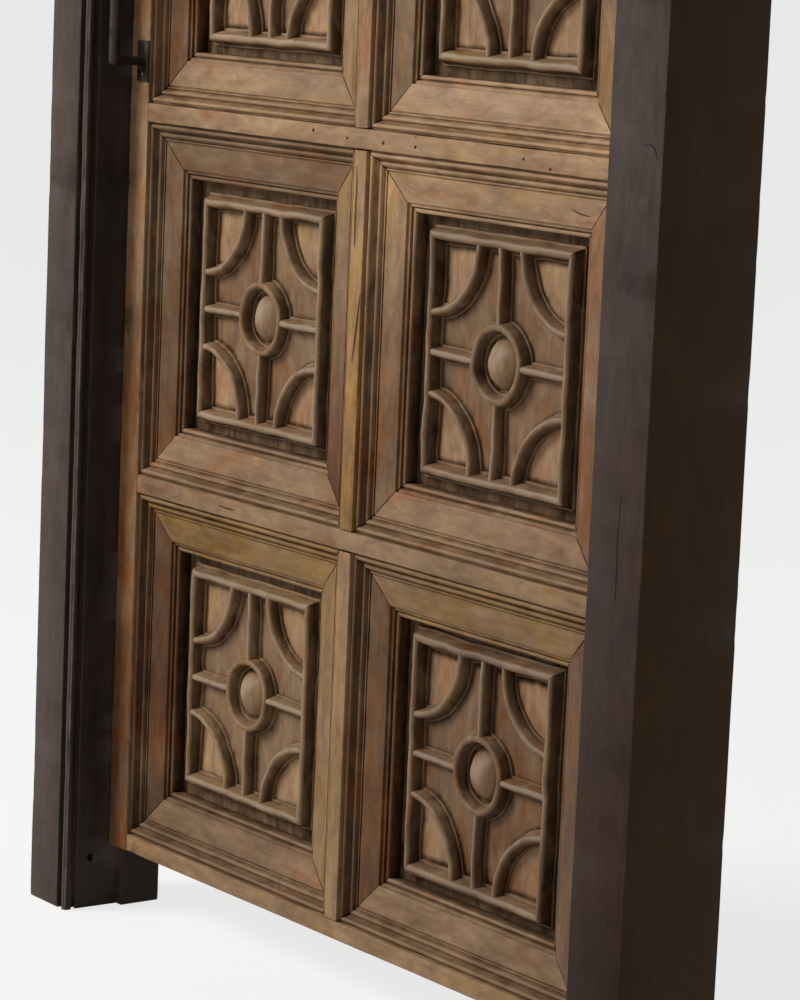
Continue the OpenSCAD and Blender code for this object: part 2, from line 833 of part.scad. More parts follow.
left_jamb();
right_jamb();
head();
left_stile();
right_stile();
bottom_rail();
top_rail();
for (i = rail_list) mid_rail(i);
for (row = rows_list) muntin(row);
for (side = sides, row = rows_list)
    panel(side, row);
for (side = sides, row = rows_list)
    moulding(side, row);
for (i = hinge_list) hinge_frame_leaf(i);
for (i = hinge_list) hinge_door_leaf(i);
for (i = hinge_list) hinge_pin(i);
hinge_frame_screws();
hinge_door_screws();
front_pull();
pull_screws();
bolt_plate();
bolt_bar();
bolt_screws();
bolt_keep();
keep_screws();
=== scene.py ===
# %% [markdown]
# A carved panel door in its frame, dressed for the camera. The joiner's model gives every board at
# its true size with crisp edges. Here each board gets the softness of age: worn corners, hand-cut
# carving, grain that runs along its length, and dark wax in every groove.

# %% Load the frame
import json
import math
import random

import bmesh
import bpy
from mathutils import Matrix, Vector, noise

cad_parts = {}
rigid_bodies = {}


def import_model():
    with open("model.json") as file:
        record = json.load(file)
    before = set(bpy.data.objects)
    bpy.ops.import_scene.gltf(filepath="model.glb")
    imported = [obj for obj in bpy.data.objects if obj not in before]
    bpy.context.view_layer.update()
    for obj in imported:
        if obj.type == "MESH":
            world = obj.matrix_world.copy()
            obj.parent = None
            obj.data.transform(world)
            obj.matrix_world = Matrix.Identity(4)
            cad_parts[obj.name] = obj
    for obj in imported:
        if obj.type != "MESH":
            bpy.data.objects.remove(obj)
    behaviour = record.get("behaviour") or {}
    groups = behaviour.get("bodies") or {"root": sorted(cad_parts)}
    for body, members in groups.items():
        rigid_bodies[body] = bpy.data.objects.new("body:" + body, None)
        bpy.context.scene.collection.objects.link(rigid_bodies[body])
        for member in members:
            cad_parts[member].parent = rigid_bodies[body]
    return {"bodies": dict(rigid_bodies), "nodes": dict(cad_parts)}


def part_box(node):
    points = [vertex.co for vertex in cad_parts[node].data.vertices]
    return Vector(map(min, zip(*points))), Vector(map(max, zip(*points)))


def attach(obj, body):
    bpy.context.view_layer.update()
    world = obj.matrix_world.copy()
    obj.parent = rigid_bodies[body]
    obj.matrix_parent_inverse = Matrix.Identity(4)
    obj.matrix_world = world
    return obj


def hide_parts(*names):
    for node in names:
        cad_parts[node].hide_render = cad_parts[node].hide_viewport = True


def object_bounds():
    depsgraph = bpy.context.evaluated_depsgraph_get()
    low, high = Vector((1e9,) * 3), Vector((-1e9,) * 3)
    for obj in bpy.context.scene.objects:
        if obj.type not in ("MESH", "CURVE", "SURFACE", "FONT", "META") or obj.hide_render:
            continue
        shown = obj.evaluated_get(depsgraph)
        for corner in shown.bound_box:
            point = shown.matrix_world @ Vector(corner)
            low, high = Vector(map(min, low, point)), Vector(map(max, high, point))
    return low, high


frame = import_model()
cad_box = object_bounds()
MM = 0.001
print("CAD box in mm:", [[round(c / MM, 1) for c in corner] for corner in cad_box])

# %% [markdown]
# All places come from the frame. A panel's opening lies between the two uprights beside it and the
# two rails above and below it, so four boxes give its corners. The flats of the leaf are its front.

# %% Places on the leaf
SIDES = ("left", "right")
ROWS = range(1, 6)
flats_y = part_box("left_stile")[0].y
leaf_back_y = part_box("left_stile")[1].y
column_edges = {
    "left": (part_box("left_stile")[1].x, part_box("muntin_1")[0].x),
    "right": (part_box("muntin_1")[1].x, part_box("right_stile")[0].x),
}
rails = ["bottom_rail"] + [f"mid_rail_{i}" for i in range(1, 5)] + ["top_rail"]
row_edges = {row: (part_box(rails[row - 1])[1].z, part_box(rails[row])[0].z) for row in ROWS}


def opening(side, row):
    """Lower left and upper right corner of a panel's opening, in the plane of the flats."""
    x0, x1 = column_edges[side]
    z0, z1 = row_edges[row]
    return Vector((x0, flats_y, z0)), Vector((x1, flats_y, z1))


print("first opening in mm:", [[round(c / MM, 1) for c in corner] for corner in opening("left", 1)])

# %% [markdown]
# The camera stands to the right of the door and a little above its middle, with a long lens. Its
# place was found by fitting the door's known corners to where they show in the picture.

# %% Camera
PICTURE_HEIGHT_PX = 1000
FOCAL_PX = 3629.8
SENSOR_MM = 36
CAMERA_PLACE = Vector((3.0572, -2.2203, 1.1595))
CAMERA_YAW = math.radians(53.293)
CAMERA_PITCH = math.radians(9.079)
CAMERA_ROLL = math.radians(-2.417)

ahead = Vector((
    -math.sin(CAMERA_YAW) * math.cos(CAMERA_PITCH),
    math.cos(CAMERA_YAW) * math.cos(CAMERA_PITCH),
    -math.sin(CAMERA_PITCH),
))
level_right = Vector((math.cos(CAMERA_YAW), math.sin(CAMERA_YAW), 0))
level_down = ahead.cross(level_right)
right = level_right * math.cos(CAMERA_ROLL) + level_down * math.sin(CAMERA_ROLL)
up = level_right * math.sin(CAMERA_ROLL) - level_down * math.cos(CAMERA_ROLL)
turn = Matrix((right, up, -ahead)).transposed().to_4x4()

camera_data = bpy.data.cameras.new("camera")
camera_data.sensor_fit = "VERTICAL"
camera_data.sensor_height = SENSOR_MM
camera_data.lens = SENSOR_MM * FOCAL_PX / PICTURE_HEIGHT_PX
camera = bpy.data.objects.new("camera", camera_data)
camera.matrix_world = Matrix.Translation(CAMERA_PLACE) @ turn
bpy.context.scene.collection.objects.link(camera)
bpy.context.scene.camera = camera
print(f"camera lens {camera_data.lens:.1f} mm")

# %% [markdown]
# Every material is built from nodes. One small function adds a node, sets its options and links its
# inputs, so a material reads from top to bottom like a recipe. Colours are written as they look on
# a screen and turned to the linear values that light works with.

# %% Node and colour helpers
def linear(hex_colour):
    """Linear colour of an sRGB hex value."""
    parts = [int(hex_colour[i:i + 2], 16) / 255 for i in (1, 3, 5)]
    return tuple(((c + 0.055) / 1.055) ** 2.4 if c > 0.04045 else c / 12.92 for c in parts) + (1,)


def add(tree, kind, inputs=None, stops=None, **settings):
    """Adds a node with its settings, its ramp's stops, and values or links for its inputs."""
    node = tree.nodes.new(kind)
    for name, value in settings.items():
        setattr(node, name, value)
    for socket, value in (inputs or {}).items():
        if isinstance(value, bpy.types.NodeSocket):
            tree.links.new(value, node.inputs[socket])
        else:
            node.inputs[socket].default_value = value
    if stops:
        ramp = node.color_ramp
        while len(ramp.elements) < len(stops):
            ramp.elements.new(1)
        for element, (place, colour) in zip(ramp.elements, stops):
            element.position = place
            element.color = linear(colour) if isinstance(colour, str) else (colour, colour, colour, 1)
    return node


def new_material(name):
    """An empty material with its output, and the tree to build in."""
    material = bpy.data.materials.new(name)
    material.use_nodes = True
    material.node_tree.nodes.clear()
    return material, material.node_tree


# %% [markdown]
# The leaf is old softwood, stained, waxed and handled for generations. The grain shows as long
# streaks, the wax has gone dark where a cloth never reaches, and crests and corners are rubbed
# pale. That dark also paints the shade in grooves and on flanks turned from the lamp, and that
# pale paints highlights on carved crests. Two vectors ride on each point of a board. One says
# where it lies along the board's own grain. The other holds how light and how warm the board is,
# and how much rubbing the point gets: nothing in a groove, all of it on a crest. Reading the wear,
# the wax and this painted shade from the shape costs no extra light rays, which a search for
# nearby surfaces would.

# %% Wood material
PATTERNS_MM = {
    "streak": (5, 90), "fibre": (1.8, 30), "stain": (75, 200),
    "blotch": (14, 34), "cloud": (26, 70), "lump": (9, 9),
}
PATTERN_DETAIL, STAIN_DETAIL = 3, 4
PATTERN_ROUGHNESS, PATTERN_WARP = 0.6, 0.6
FIBRE_SHARE, STAIN_SHARE = 0.25, 0.3
GRAIN_STOPS = (0.26, 0.43, 0.57, 0.76)
CLOUD_LOW, CLOUD_HIGH = 0.32, 0.68
BLOTCH_LOW, BLOTCH_HIGH = 0.3, 0.7
RUB_SWING = 0.07
# Wear pales crests and corners, partly as painted highlight; wax darkens grooves and flanks, partly as
# painted shade
WEAR_AND_HIGHLIGHT_START, WEAR_AND_HIGHLIGHT_FULL, WEAR_AND_HIGHLIGHT_MOST = 0.85, 1.05, 0.85
WAX_AND_SHADE_FULL, WAX_AND_SHADE_GONE, WAX_AND_SHADE_MOST = 0.08, 0.5, 0.95
PIT_MM, PIT_CORE, PIT_RIM, PIT_DARK = 55, 0.012, 0.03, 0.8
GRAIN_RELIEF_MM, RELIEF_STRENGTH, LUMP_SHARE = 1.1, 0.6, 0.6
SMOOTHER, ROUGHER = 0.08, 0.1
SHEEN_GONE = 0.8


def wood(name, colours, streaky, patchy, gold, red, grime_and_shade, edge, specular, roughness):
    """Aged wood: colours run from dark to pale grain, then its two tints, its wax with painted shade and its
    wear with painted highlights.
    """
    material, tree = new_material(name)
    grain = add(tree, "ShaderNodeAttribute", attribute_name="grain").outputs["Vector"]
    tone = add(tree, "ShaderNodeAttribute", attribute_name="tone").outputs["Vector"]
    tone = add(tree, "ShaderNodeSeparateXYZ", {0: tone}).outputs
    patterns = {}
    for pattern, (width, length) in PATTERNS_MM.items():
        scale = (1 / (width * MM), 1 / (width * MM), 1 / (length * MM))
        place = add(tree, "ShaderNodeVectorMath", {0: grain, 1: scale}, operation="MULTIPLY")
        texture = add(
            tree, "ShaderNodeTexNoise",
            {
                "Vector": place.outputs[0],
                "Scale": 1,
                "Detail": STAIN_DETAIL if pattern == "stain" else PATTERN_DETAIL,
                "Roughness": PATTERN_ROUGHNESS,
                "Distortion": PATTERN_WARP,
            },
        )
        patterns[pattern] = texture.outputs["Fac"]

    # The grain's lightness: blotches with streaks and fibres in them, then slow stains
    mixed = add(tree, "ShaderNodeMix", {0: FIBRE_SHARE, 2: patterns["streak"], 3: patterns["fibre"]})
    mixed = add(tree, "ShaderNodeMix", {0: streaky, 2: patterns["blotch"], 3: mixed.outputs[0]})
    mixed = add(tree, "ShaderNodeMix", {0: STAIN_SHARE, 2: mixed.outputs[0], 3: patterns["stain"]})
    base = add(tree, "ShaderNodeValToRGB", {0: mixed.outputs[0]}, stops=list(zip(GRAIN_STOPS, colours)))

    # A board's hue goes to gold above zero and to red below it, unevenly, as if in clouds
    uneven = add(
        tree, "ShaderNodeMapRange", {0: patterns["cloud"], 1: CLOUD_LOW, 2: CLOUD_HIGH, 3: -patchy, 4: patchy}
    )
    hue = add(tree, "ShaderNodeMath", {0: tone["Y"], 1: uneven.outputs[0]}, operation="ADD").outputs[0]
    colour = base.outputs["Color"]
    for tint, full in ((gold, 1), (red, -1)):
        share = add(tree, "ShaderNodeMapRange", {0: hue, 1: 0, 2: full, 3: 0, 4: 1})
        colour = add(
            tree, "ShaderNodeMix", {0: share.outputs[0], 6: colour, 7: linear(tint)},
            data_type="RGBA", blend_type="MULTIPLY",
        ).outputs[2]

    # Rubbing, made uneven by the blotches, turns to pale wear at the top and dark wax at the bottom;
    # the pale also paints highlights and the dark also paints shade. Between the two, each board has
    # its own lightness.
    uneven = add(
        tree, "ShaderNodeMapRange",
        {0: patterns["blotch"], 1: BLOTCH_LOW, 2: BLOTCH_HIGH, 3: -RUB_SWING, 4: RUB_SWING},
    )
    rubbed = add(tree, "ShaderNodeMath", {0: tone["Z"], 1: uneven.outputs[0]}, operation="ADD").outputs[0]
    # Pale wear, which on carved crests also paints their highlights
    wear = add(tree, "ShaderNodeMapRange", {0: rubbed, 1: WEAR_AND_HIGHLIGHT_START, 2: WEAR_AND_HIGHLIGHT_FULL, 3: 0, 4: WEAR_AND_HIGHLIGHT_MOST})
    colour = add(
        tree, "ShaderNodeMix", {0: wear.outputs[0], 6: colour, 7: linear(edge)}, data_type="RGBA",
    ).outputs[2]
    lightness = add(tree, "ShaderNodeMath", {0: tone["X"], 1: 1}, operation="ADD")
    colour = add(
        tree, "ShaderNodeMix", {0: 1, 6: colour, 7: lightness.outputs[0]},
        data_type="RGBA", blend_type="MULTIPLY",
    ).outputs[2]
    # Dark wax, which also paints the shade in grooves, quirks and flanks turned from the lamp
    wax = add(tree, "ShaderNodeMapRange", {0: rubbed, 1: WAX_AND_SHADE_FULL, 2: WAX_AND_SHADE_GONE, 3: WAX_AND_SHADE_MOST, 4: 0})
    pit_scale = (1 / (PIT_MM * MM),) * 3
    pit_place = add(tree, "ShaderNodeVectorMath", {0: grain, 1: pit_scale}, operation="MULTIPLY")
    pits = add(tree, "ShaderNodeTexVoronoi", {"Vector": pit_place.outputs[0], "Scale": 1})
    pits = add(
        tree, "ShaderNodeMapRange", {0: pits.outputs["Distance"], 1: PIT_CORE, 2: PIT_RIM, 3: PIT_DARK, 4: 0}
    )
    dark = add(tree, "ShaderNodeMath", {0: wax.outputs[0], 1: pits.outputs[0]}, operation="MAXIMUM")
    colour = add(
        tree, "ShaderNodeMix", {0: dark.outputs[0], 6: colour, 7: linear(grime_and_shade)}, data_type="RGBA",
    ).outputs[2]

    # Fine relief of the grain, a polish that is duller in blotches, and none where the wax and painted shade
    # are dark
    height = add(tree, "ShaderNodeMix", {0: LUMP_SHARE, 2: patterns["streak"], 3: patterns["lump"]})
    bump = add(
        tree, "ShaderNodeBump",
        {"Strength": RELIEF_STRENGTH, "Distance": GRAIN_RELIEF_MM * MM, "Height": height.outputs[0]},
    )
    dullness = add(
        tree, "ShaderNodeMapRange",
        {
            0: patterns["blotch"],
            1: BLOTCH_LOW,
            2: BLOTCH_HIGH,
            3: roughness - SMOOTHER,
            4: roughness + ROUGHER,
        },
    )
    sheen = add(tree, "ShaderNodeMapRange", {0: dark.outputs[0], 1: 0, 2: SHEEN_GONE, 3: specular, 4: 0})
    shader = add(
        tree, "ShaderNodeBsdfPrincipled",
        {
            "Base Color": colour,
            "Roughness": dullness.outputs[0],
            "Normal": bump.outputs[0],
            "Specular IOR Level": sheen.outputs[0],
        },
    )
    add(tree, "ShaderNodeOutputMaterial", {"Surface": shader.outputs[0]})
    return material


# Waxed pine, stained and rubbed: an even brown that leans to gold or to red from board to board
# The grime colour also paints shade in grooves, and the edge colour also paints highlights on crests
door_wood = wood(
    "waxed_aged_pine", ("#614831", "#7e634b", "#95795c", "#aa8e6f"), streaky=0.33, patchy=0.4,
    gold="#ffeda6", red="#ffbd72", grime_and_shade="#1c140e", edge="#9b8974", specular=0.15, roughness=0.48,
)
# Pine stained almost black: the grain shows only as a change of brown
frame_wood = wood(
    "dark_stained_pine", ("#2d2522", "#372e2a", "#413632", "#4d413c"), streaky=0.2, patchy=0.25,
    gold="#ffd98e", red="#ffca8e", grime_and_shade="#0c0806", edge="#75645a", specular=0.1, roughness=0.5,
)
print("materials:", [m.name for m in (door_wood, frame_wood)])

# %% [markdown]
# The hinges, the pull and the bolt are wrought iron that was blackened in the fire and handled
# since: nearly black, a little brown in patches, with a soft sheen.

# %% Iron material
HAMMER_MM, HAMMER_DETAIL, HAMMER_DEPTH_MM, HAMMER_STRENGTH = 9, 3, 0.4, 0.4
RUST_MM, RUST_DETAIL = 14, 6
RUST_COLOURS = [(0.4, "#2b2927"), (0.6, "#3a342f"), (0.72, "#4f3a2c")]
BARE_IRON, BROWN_IRON = 0.4, 0.7
BARE_ROUGHNESS, BROWN_ROUGHNESS = 0.38, 0.7
IRON_METALLIC = 0.85


def blackened_iron():
    """Blackened wrought iron: a dark metal with hammer marks and brown patches."""
    material, tree = new_material("blackened_wrought_iron")
    place = add(tree, "ShaderNodeTexCoord").outputs["Object"]
    marks = add(
        tree, "ShaderNodeTexNoise", {"Vector": place, "Scale": 1 / (HAMMER_MM * MM), "Detail": HAMMER_DETAIL}
    )
    rust = add(
        tree, "ShaderNodeTexNoise", {"Vector": place, "Scale": 1 / (RUST_MM * MM), "Detail": RUST_DETAIL}
    ).outputs["Fac"]
    colour = add(tree, "ShaderNodeValToRGB", {0: rust}, stops=RUST_COLOURS)
    gloss = add(
        tree, "ShaderNodeMapRange",
        {0: rust, 1: BARE_IRON, 2: BROWN_IRON, 3: BARE_ROUGHNESS, 4: BROWN_ROUGHNESS},
    )
    bump = add(
        tree, "ShaderNodeBump",
        {"Strength": HAMMER_STRENGTH, "Distance": HAMMER_DEPTH_MM * MM, "Height": marks.outputs["Fac"]},
    )
    shader = add(
        tree, "ShaderNodeBsdfPrincipled",
        {
            "Base Color": colour.outputs[0],
            "Roughness": gloss.outputs[0],
            "Metallic": IRON_METALLIC,
            "Normal": bump.outputs[0],
        },
    )
    add(tree, "ShaderNodeOutputMaterial", {"Surface": shader.outputs[0]})
    return material


iron = blackened_iron()
iron_nodes = [n for n in frame["nodes"] if n.startswith(("hinge", "front_pull", "pull", "bolt", "keep"))]
print(len(iron_nodes), "iron pieces")

# %% [markdown]
# Each piece of wood carries two attributes for the material. They are layers of the mesh, so
# they go wherever the piece goes. The last step of every piece is the same: its mesh becomes an
# object at the origin, it rides on its body, and the board of the model that it stands for is hidden.

# %% Wood pieces: data and finish
# The vector noise starts from the clock unless it has a seed, so both kinds of chance get one
SEED = 7
chance = random.Random(SEED)
noise.seed_set(SEED)
SHARP_ANGLE = math.radians(38)
PATTERN_SHIFT = 40
CUT_MM = 0.01


def wood_layers(bm):
    """The grain and tone layers of a mesh, made if they aren't there."""
    layers = bm.verts.layers.float_vector
    return layers.get("grain") or layers.new("grain"), layers.get("tone") or layers.new("tone")


def new_wood_mesh():
    """An empty mesh that already has the wood's layers."""
    bm = bmesh.new()
    for name in ("grain", "tone"):
        bm.verts.layers.float_vector.new(name)
    return bm


def random_offset():
    """A shift that puts a board's pattern far from every other board's."""
    return Vector([chance.uniform(-PATTERN_SHIFT, PATTERN_SHIFT) for _ in range(3)])


def finish_piece(bm, name, body, material, nodes):
    """Makes the object, shades it, and ties it to the frame."""
    mesh = bpy.data.meshes.new(name)
    bm.to_mesh(mesh)
    bm.free()
    mesh.materials.append(material)
    mesh.shade_smooth()
    mesh.set_sharp_from_angle(angle=SHARP_ANGLE)
    piece = bpy.data.objects.new(name, mesh)
    bpy.context.scene.collection.objects.link(piece)
    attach(piece, body)
    if nodes:
        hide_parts(*nodes)
    return piece


def only(kind, geometry):
    """The elements of one kind in what an operator hands back."""
    return [e for e in geometry if isinstance(e, kind)]


def everything(bm):
    """All points, edges and faces of a mesh, as operators want them."""
    return bm.verts[:] + bm.edges[:] + bm.faces[:]


def cut_across(bm, axis, place):
    """Cuts every face that a plane across the axis goes through."""
    normal = Vector([float(i == axis) for i in range(3)])
    faces = [
        f for f in bm.faces
        if min(v.co[axis] for v in f.verts) < place < max(v.co[axis] for v in f.verts)
    ]
    edges = {e for f in faces for e in f.edges}
    verts = {v for f in faces for v in f.verts}
    geometry = faces + list(edges) + list(verts)
    bmesh.ops.bisect_plane(bm, geom=geometry, dist=CUT_MM * MM, plane_co=normal * place, plane_no=normal)


def cut_loops(bm, axis, spacing):
    """Cuts a mesh across an axis at even steps, so that its long faces can be bent a little."""
    places = [v.co[axis] for v in bm.verts]
    low, high = min(places), max(places)
    count = max(1, round((high - low) / spacing))
    for i in range(1, count):
        cut_across(bm, axis, low + (high - low) * i / count)


def weather(bm, depth, size, seed):
    """Moves each point inwards by a soft noise of that depth and size."""
    bm.normal_update()
    for v in bm.verts:
        v.co -= v.normal * depth * (0.5 + 0.5 * noise.noise(v.co / size + seed))


# %% [markdown]
# Rails, stiles, muntins and the frame's timbers keep the joiner's exact form, with their tenons and
# grooves. A copy of the model's mesh is merged and its flat triangles are joined to whole faces,
# so that the bevel can run along each long corner. Then the board is cut across in short steps and
# each point sinks by a soft noise, because no hand-planed board is flat and no old corner is sharp.

# %% Timbers
X, Z = 0, 2
MERGE_MM = 0.001
FLAT_ANGLE = math.radians(1)
LONG_EDGE_MM = 25
CORNER_ANGLE = math.radians(75)
ARRIS_SEGMENTS = 3
JOINT_LINE_MM, JOINT_REACH_MM, JOINT_RUB = 1.2, 0.3, 0.15
CORNER_REACH_MM, CORNER_GAIN = 4, 4
FLAT_RUB = 0.64
FRONT_FACING = 0.7
LIGHT_DRIFT, LIGHT_DRIFT_MM = 0.2, 100
HUE_DRIFT, HUE_DRIFT_MM = 0.2, 160
WAVE_SIZE_MM = 90
CHIP_SIZE_MM, CHIP_START = 22, 0.25
LEAF_WEAR_MM = {"arris": 1.6, "step": 8, "wave": 1.2, "chip": 6}
FRAME_WEAR_MM = {"arris": 2, "step": 10, "wave": 0.8, "chip": 5}


def merged_copy(node):
    """A copy of one node of the model, its loose triangles joined to whole flat faces."""
    bm = bmesh.new()
    bm.from_mesh(frame["nodes"][node].data)
    bmesh.ops.remove_doubles(bm, verts=bm.verts, dist=MERGE_MM * MM)
    bmesh.ops.dissolve_limit(bm, angle_limit=FLAT_ANGLE, verts=bm.verts, edges=bm.edges)
    return bm


def round_edges(bm, edges, offset_mm, segments):
    """Rounds the given edges with a bevel."""
    bmesh.ops.bevel(
        bm, geom=edges, offset=offset_mm * MM, offset_type="OFFSET", segments=segments,
        profile=0.5, affect="EDGES", material=-1, clamp_overlap=True,
    )


def drift(tone, share, place, seed):
    """Lightness and hue at one place of a board, between those of its two ends, wandering a little."""
    first, last = tone[:2], tone[2:4] or tone[:2]
    share = min(1, share / (tone[4] if len(tone) > 4 else 1))
    light = first[0] + (last[0] - first[0]) * share
    hue = first[1] + (last[1] - first[1]) * share
    light += LIGHT_DRIFT * noise.noise(Vector((place / (LIGHT_DRIFT_MM * MM), 0, 0)) + seed)
    hue += HUE_DRIFT * noise.noise(Vector((0, place / (HUE_DRIFT_MM * MM), 0)) + seed)
    return light, hue


def timber(node, body, slot, material, along, tone, shoulders, arris, step, wave, chip):
    """A worn copy of one timber: along is its grain's axis, shoulders are where others butt on it."""
    bm = merged_copy(node)
    corners = [
        e for e in bm.edges
        if len(e.link_faces) == 2 and e.is_convex
        and e.calc_length() > LONG_EDGE_MM * MM and e.calc_face_angle() > CORNER_ANGLE
    ]
    round_edges(bm, corners, arris, ARRIS_SEGMENTS)
    cut_loops(bm, along, step * MM)
    for shoulder in shoulders:
        cut_across(bm, along, shoulder - JOINT_LINE_MM * MM)
        cut_across(bm, along, shoulder + JOINT_LINE_MM * MM)
    seed = random_offset()
    bm.normal_update()
    front = min(v.co.y for v in bm.verts)
    rubbing = {}
    for v in bm.verts:
        sink = wave * MM * (0.5 + 0.5 * noise.noise(v.co / (WAVE_SIZE_MM * MM) + seed))
        on_corner = min(1, CORNER_GAIN * (1 - max(abs(c) for c in v.normal)))
        dent = max(0, noise.noise(v.co / (CHIP_SIZE_MM * MM) + seed) - CHIP_START)
        at_shoulder = any(abs(v.co[along] - place) < JOINT_REACH_MM * MM for place in shoulders)
        worn = on_corner if v.co.y < front + CORNER_REACH_MM * MM else 0
        rub = JOINT_RUB if at_shoulder else FLAT_RUB + (1 - FLAT_RUB) * worn
        rubbing[v.index] = (rub, v.normal.y < -FRONT_FACING)
        v.co -= v.normal * (sink + chip * MM * on_corner * dent)
    grain, tones = wood_layers(bm)
    across = [axis for axis in range(3) if axis != along]
    start, end = min(v.co[along] for v in bm.verts), max(v.co[along] for v in bm.verts)
    for v in bm.verts:
        rub, in_front = rubbing[v.index]
        share = (v.co[along] - start) / (end - start)
        light, hue = drift(tone[0] if in_front else tone[1], share, v.co[along], seed)
        v[grain] = Vector((v.co[across[0]], v.co[across[1]], v.co[along])) + seed
        v[tones] = Vector((light, hue, rub))
    return finish_piece(bm, f"worn_{node}", body, material, [node])


# %% [markdown]
# Every board has aged in its own way, so each has its own tone: how light it is, and how far its hue
# leans to gold or to red. Boards in the picture follow it, and the left stile's tone also holds
# painted light. The others are drawn by chance.

# %% Timbers made
# Lightness and hue of a board, or of its two ends and how far along it the change is done
LEAF_TONES = {
    # The left stile grows lighter upwards, partly painted light that lifts the shadow the left jamb casts on
    # it
    "left_stile": (-0.35, -0.6, 0.22, -0.2, 0.45),
    "muntin_2": (-0.15, 0.9, 0.5, 0.35),
    "muntin_1": (-0.05, 0.25, 0.08, 0.2),
    "mid_rail_2": (0, 0, 0.3, 0.1),
    "mid_rail_1": (-0.08, 0, -0.17, 0),
    "bottom_rail": (0, 0.15),
}
OTHER_LEAF_LIGHT, OTHER_LEAF_HUE = (-0.3, 0.1), (-0.3, 0.4)
STILE_EDGE_TONE = (-0.2, 0)
# The frame's timbers have one tone on their fronts and one on their other sides
FRAME_TONES = {
    "left_jamb": ((0.32, 0), (-0.35, 0)),
    "right_jamb": ((-0.62, -1, 0.25, 0, 0.42), (-0.13, 0.9)),
    "head": ((0, 0), (0, 0.2)),
}
for node in ["left_stile", "right_stile"] + [f"muntin_{row}" for row in ROWS] + rails:
    tone = LEAF_TONES.get(node, (chance.uniform(*OTHER_LEAF_LIGHT), chance.uniform(*OTHER_LEAF_HUE)))
    along = X if node in rails else Z
    shoulders = (column_edges["left"][0], column_edges["right"][1]) if node in rails else ()
    if node.startswith("muntin"):
        shoulders = row_edges[int(node[-1])]
    edge_tone = STILE_EDGE_TONE if node.endswith("stile") else tone
    timber(node, "door", "door_wood", door_wood, along, (tone, edge_tone), shoulders, **LEAF_WEAR_MM)
for node, along in (("left_jamb", Z), ("right_jamb", Z), ("head", X)):
    timber(node, "frame", "frame_wood", frame_wood, along, FRAME_TONES[node], (), **FRAME_WEAR_MM)

# %% [markdown]
# The smith's pieces keep the model's form too, but a file has gone over every edge. Each is a copy
# with its sharp edges bevelled by a fraction of a millimetre, enough to catch a line of light.

# %% Iron pieces
FILED_MM, FILED_SEGMENTS = 0.5, 2
FILED_ANGLE = math.radians(35)


def filed(node):
    """A copy of an iron piece with its sharp edges filed round."""
    bm = merged_copy(node)
    sharp = [
        e for e in bm.edges
        if len(e.link_faces) == 2 and e.is_convex and e.calc_face_angle() > FILED_ANGLE
    ]
    round_edges(bm, sharp, FILED_MM, FILED_SEGMENTS)
    body = next(name for name, parent in frame["bodies"].items() if frame["nodes"][node].parent is parent)
    return finish_piece(bm, f"filed_{node}", body, iron, [node])


for node in iron_nodes:
    filed(node)
print("filed", len(iron_nodes), "iron pieces")

# %% [markdown]
# A panel's moulding is planed as one long strip and cut to four lengths with mitred ends. One
# outline makes them all: it is drawn as distance from the flat's edge and depth below the flats,
# its beads are arcs, and its other corners are rounded with a vertex bevel. The strip is extruded,
# two slanted cuts make the mitres, and four copies are turned around the opening.

# %% Moulding outline
GROUND_MM = 39
BEAD_STEPS = 8
BEADS_MM = ((4.2, 5.6, 2.7), (12.6, 12.0, 2.8), (57.2, 25.4, 2.8))
SLOPE_MM = ((20.5, 13.5), (50, 18))
STEP_MM = ((50, 21), (54, 21))
FILLET_MM = ((17.1, 13), (19.5, 13))
LINE_MM = ((16.1, 12.0), (17.1, 14.6), (19.5, 15.1), (20.5, 15.1))
STRIP_WIDTH_MM = 60
STRIP_STEP_MM = 14
ROUND_MM, ROUND_SEGMENTS = 0.6, 2
MITRE_GAP_MM = 0.3
MITRE_LINE_MM = 0.9
MITRE_RUB = 0.4


def bead(middle_u, middle_drop, radius):
    """Half a circle of points, from the bead's outer foot over its crest to its inner foot."""
    angles = [math.pi * i / BEAD_STEPS for i in range(BEAD_STEPS + 1)]
    return [(middle_u - radius * math.cos(a), middle_drop - radius * math.sin(a)) for a in angles]


moulding_outline = (
    [(0, GROUND_MM), (0, BEADS_MM[0][1])] + bead(*BEADS_MM[0]) + bead(*BEADS_MM[1])
    + [LINE_MM[0], LINE_MM[1], FILLET_MM[0], FILLET_MM[1], LINE_MM[2], LINE_MM[3]]
    + [SLOPE_MM[0], SLOPE_MM[1], STEP_MM[0], STEP_MM[1], (STEP_MM[1][0], BEADS_MM[2][1])]
    + bead(*BEADS_MM[2]) + [(STRIP_WIDTH_MM, GROUND_MM)]
)
MOULDING_ROUND = [FILLET_MM[0], FILLET_MM[1], SLOPE_MM[0], SLOPE_MM[1], STEP_MM[1]]


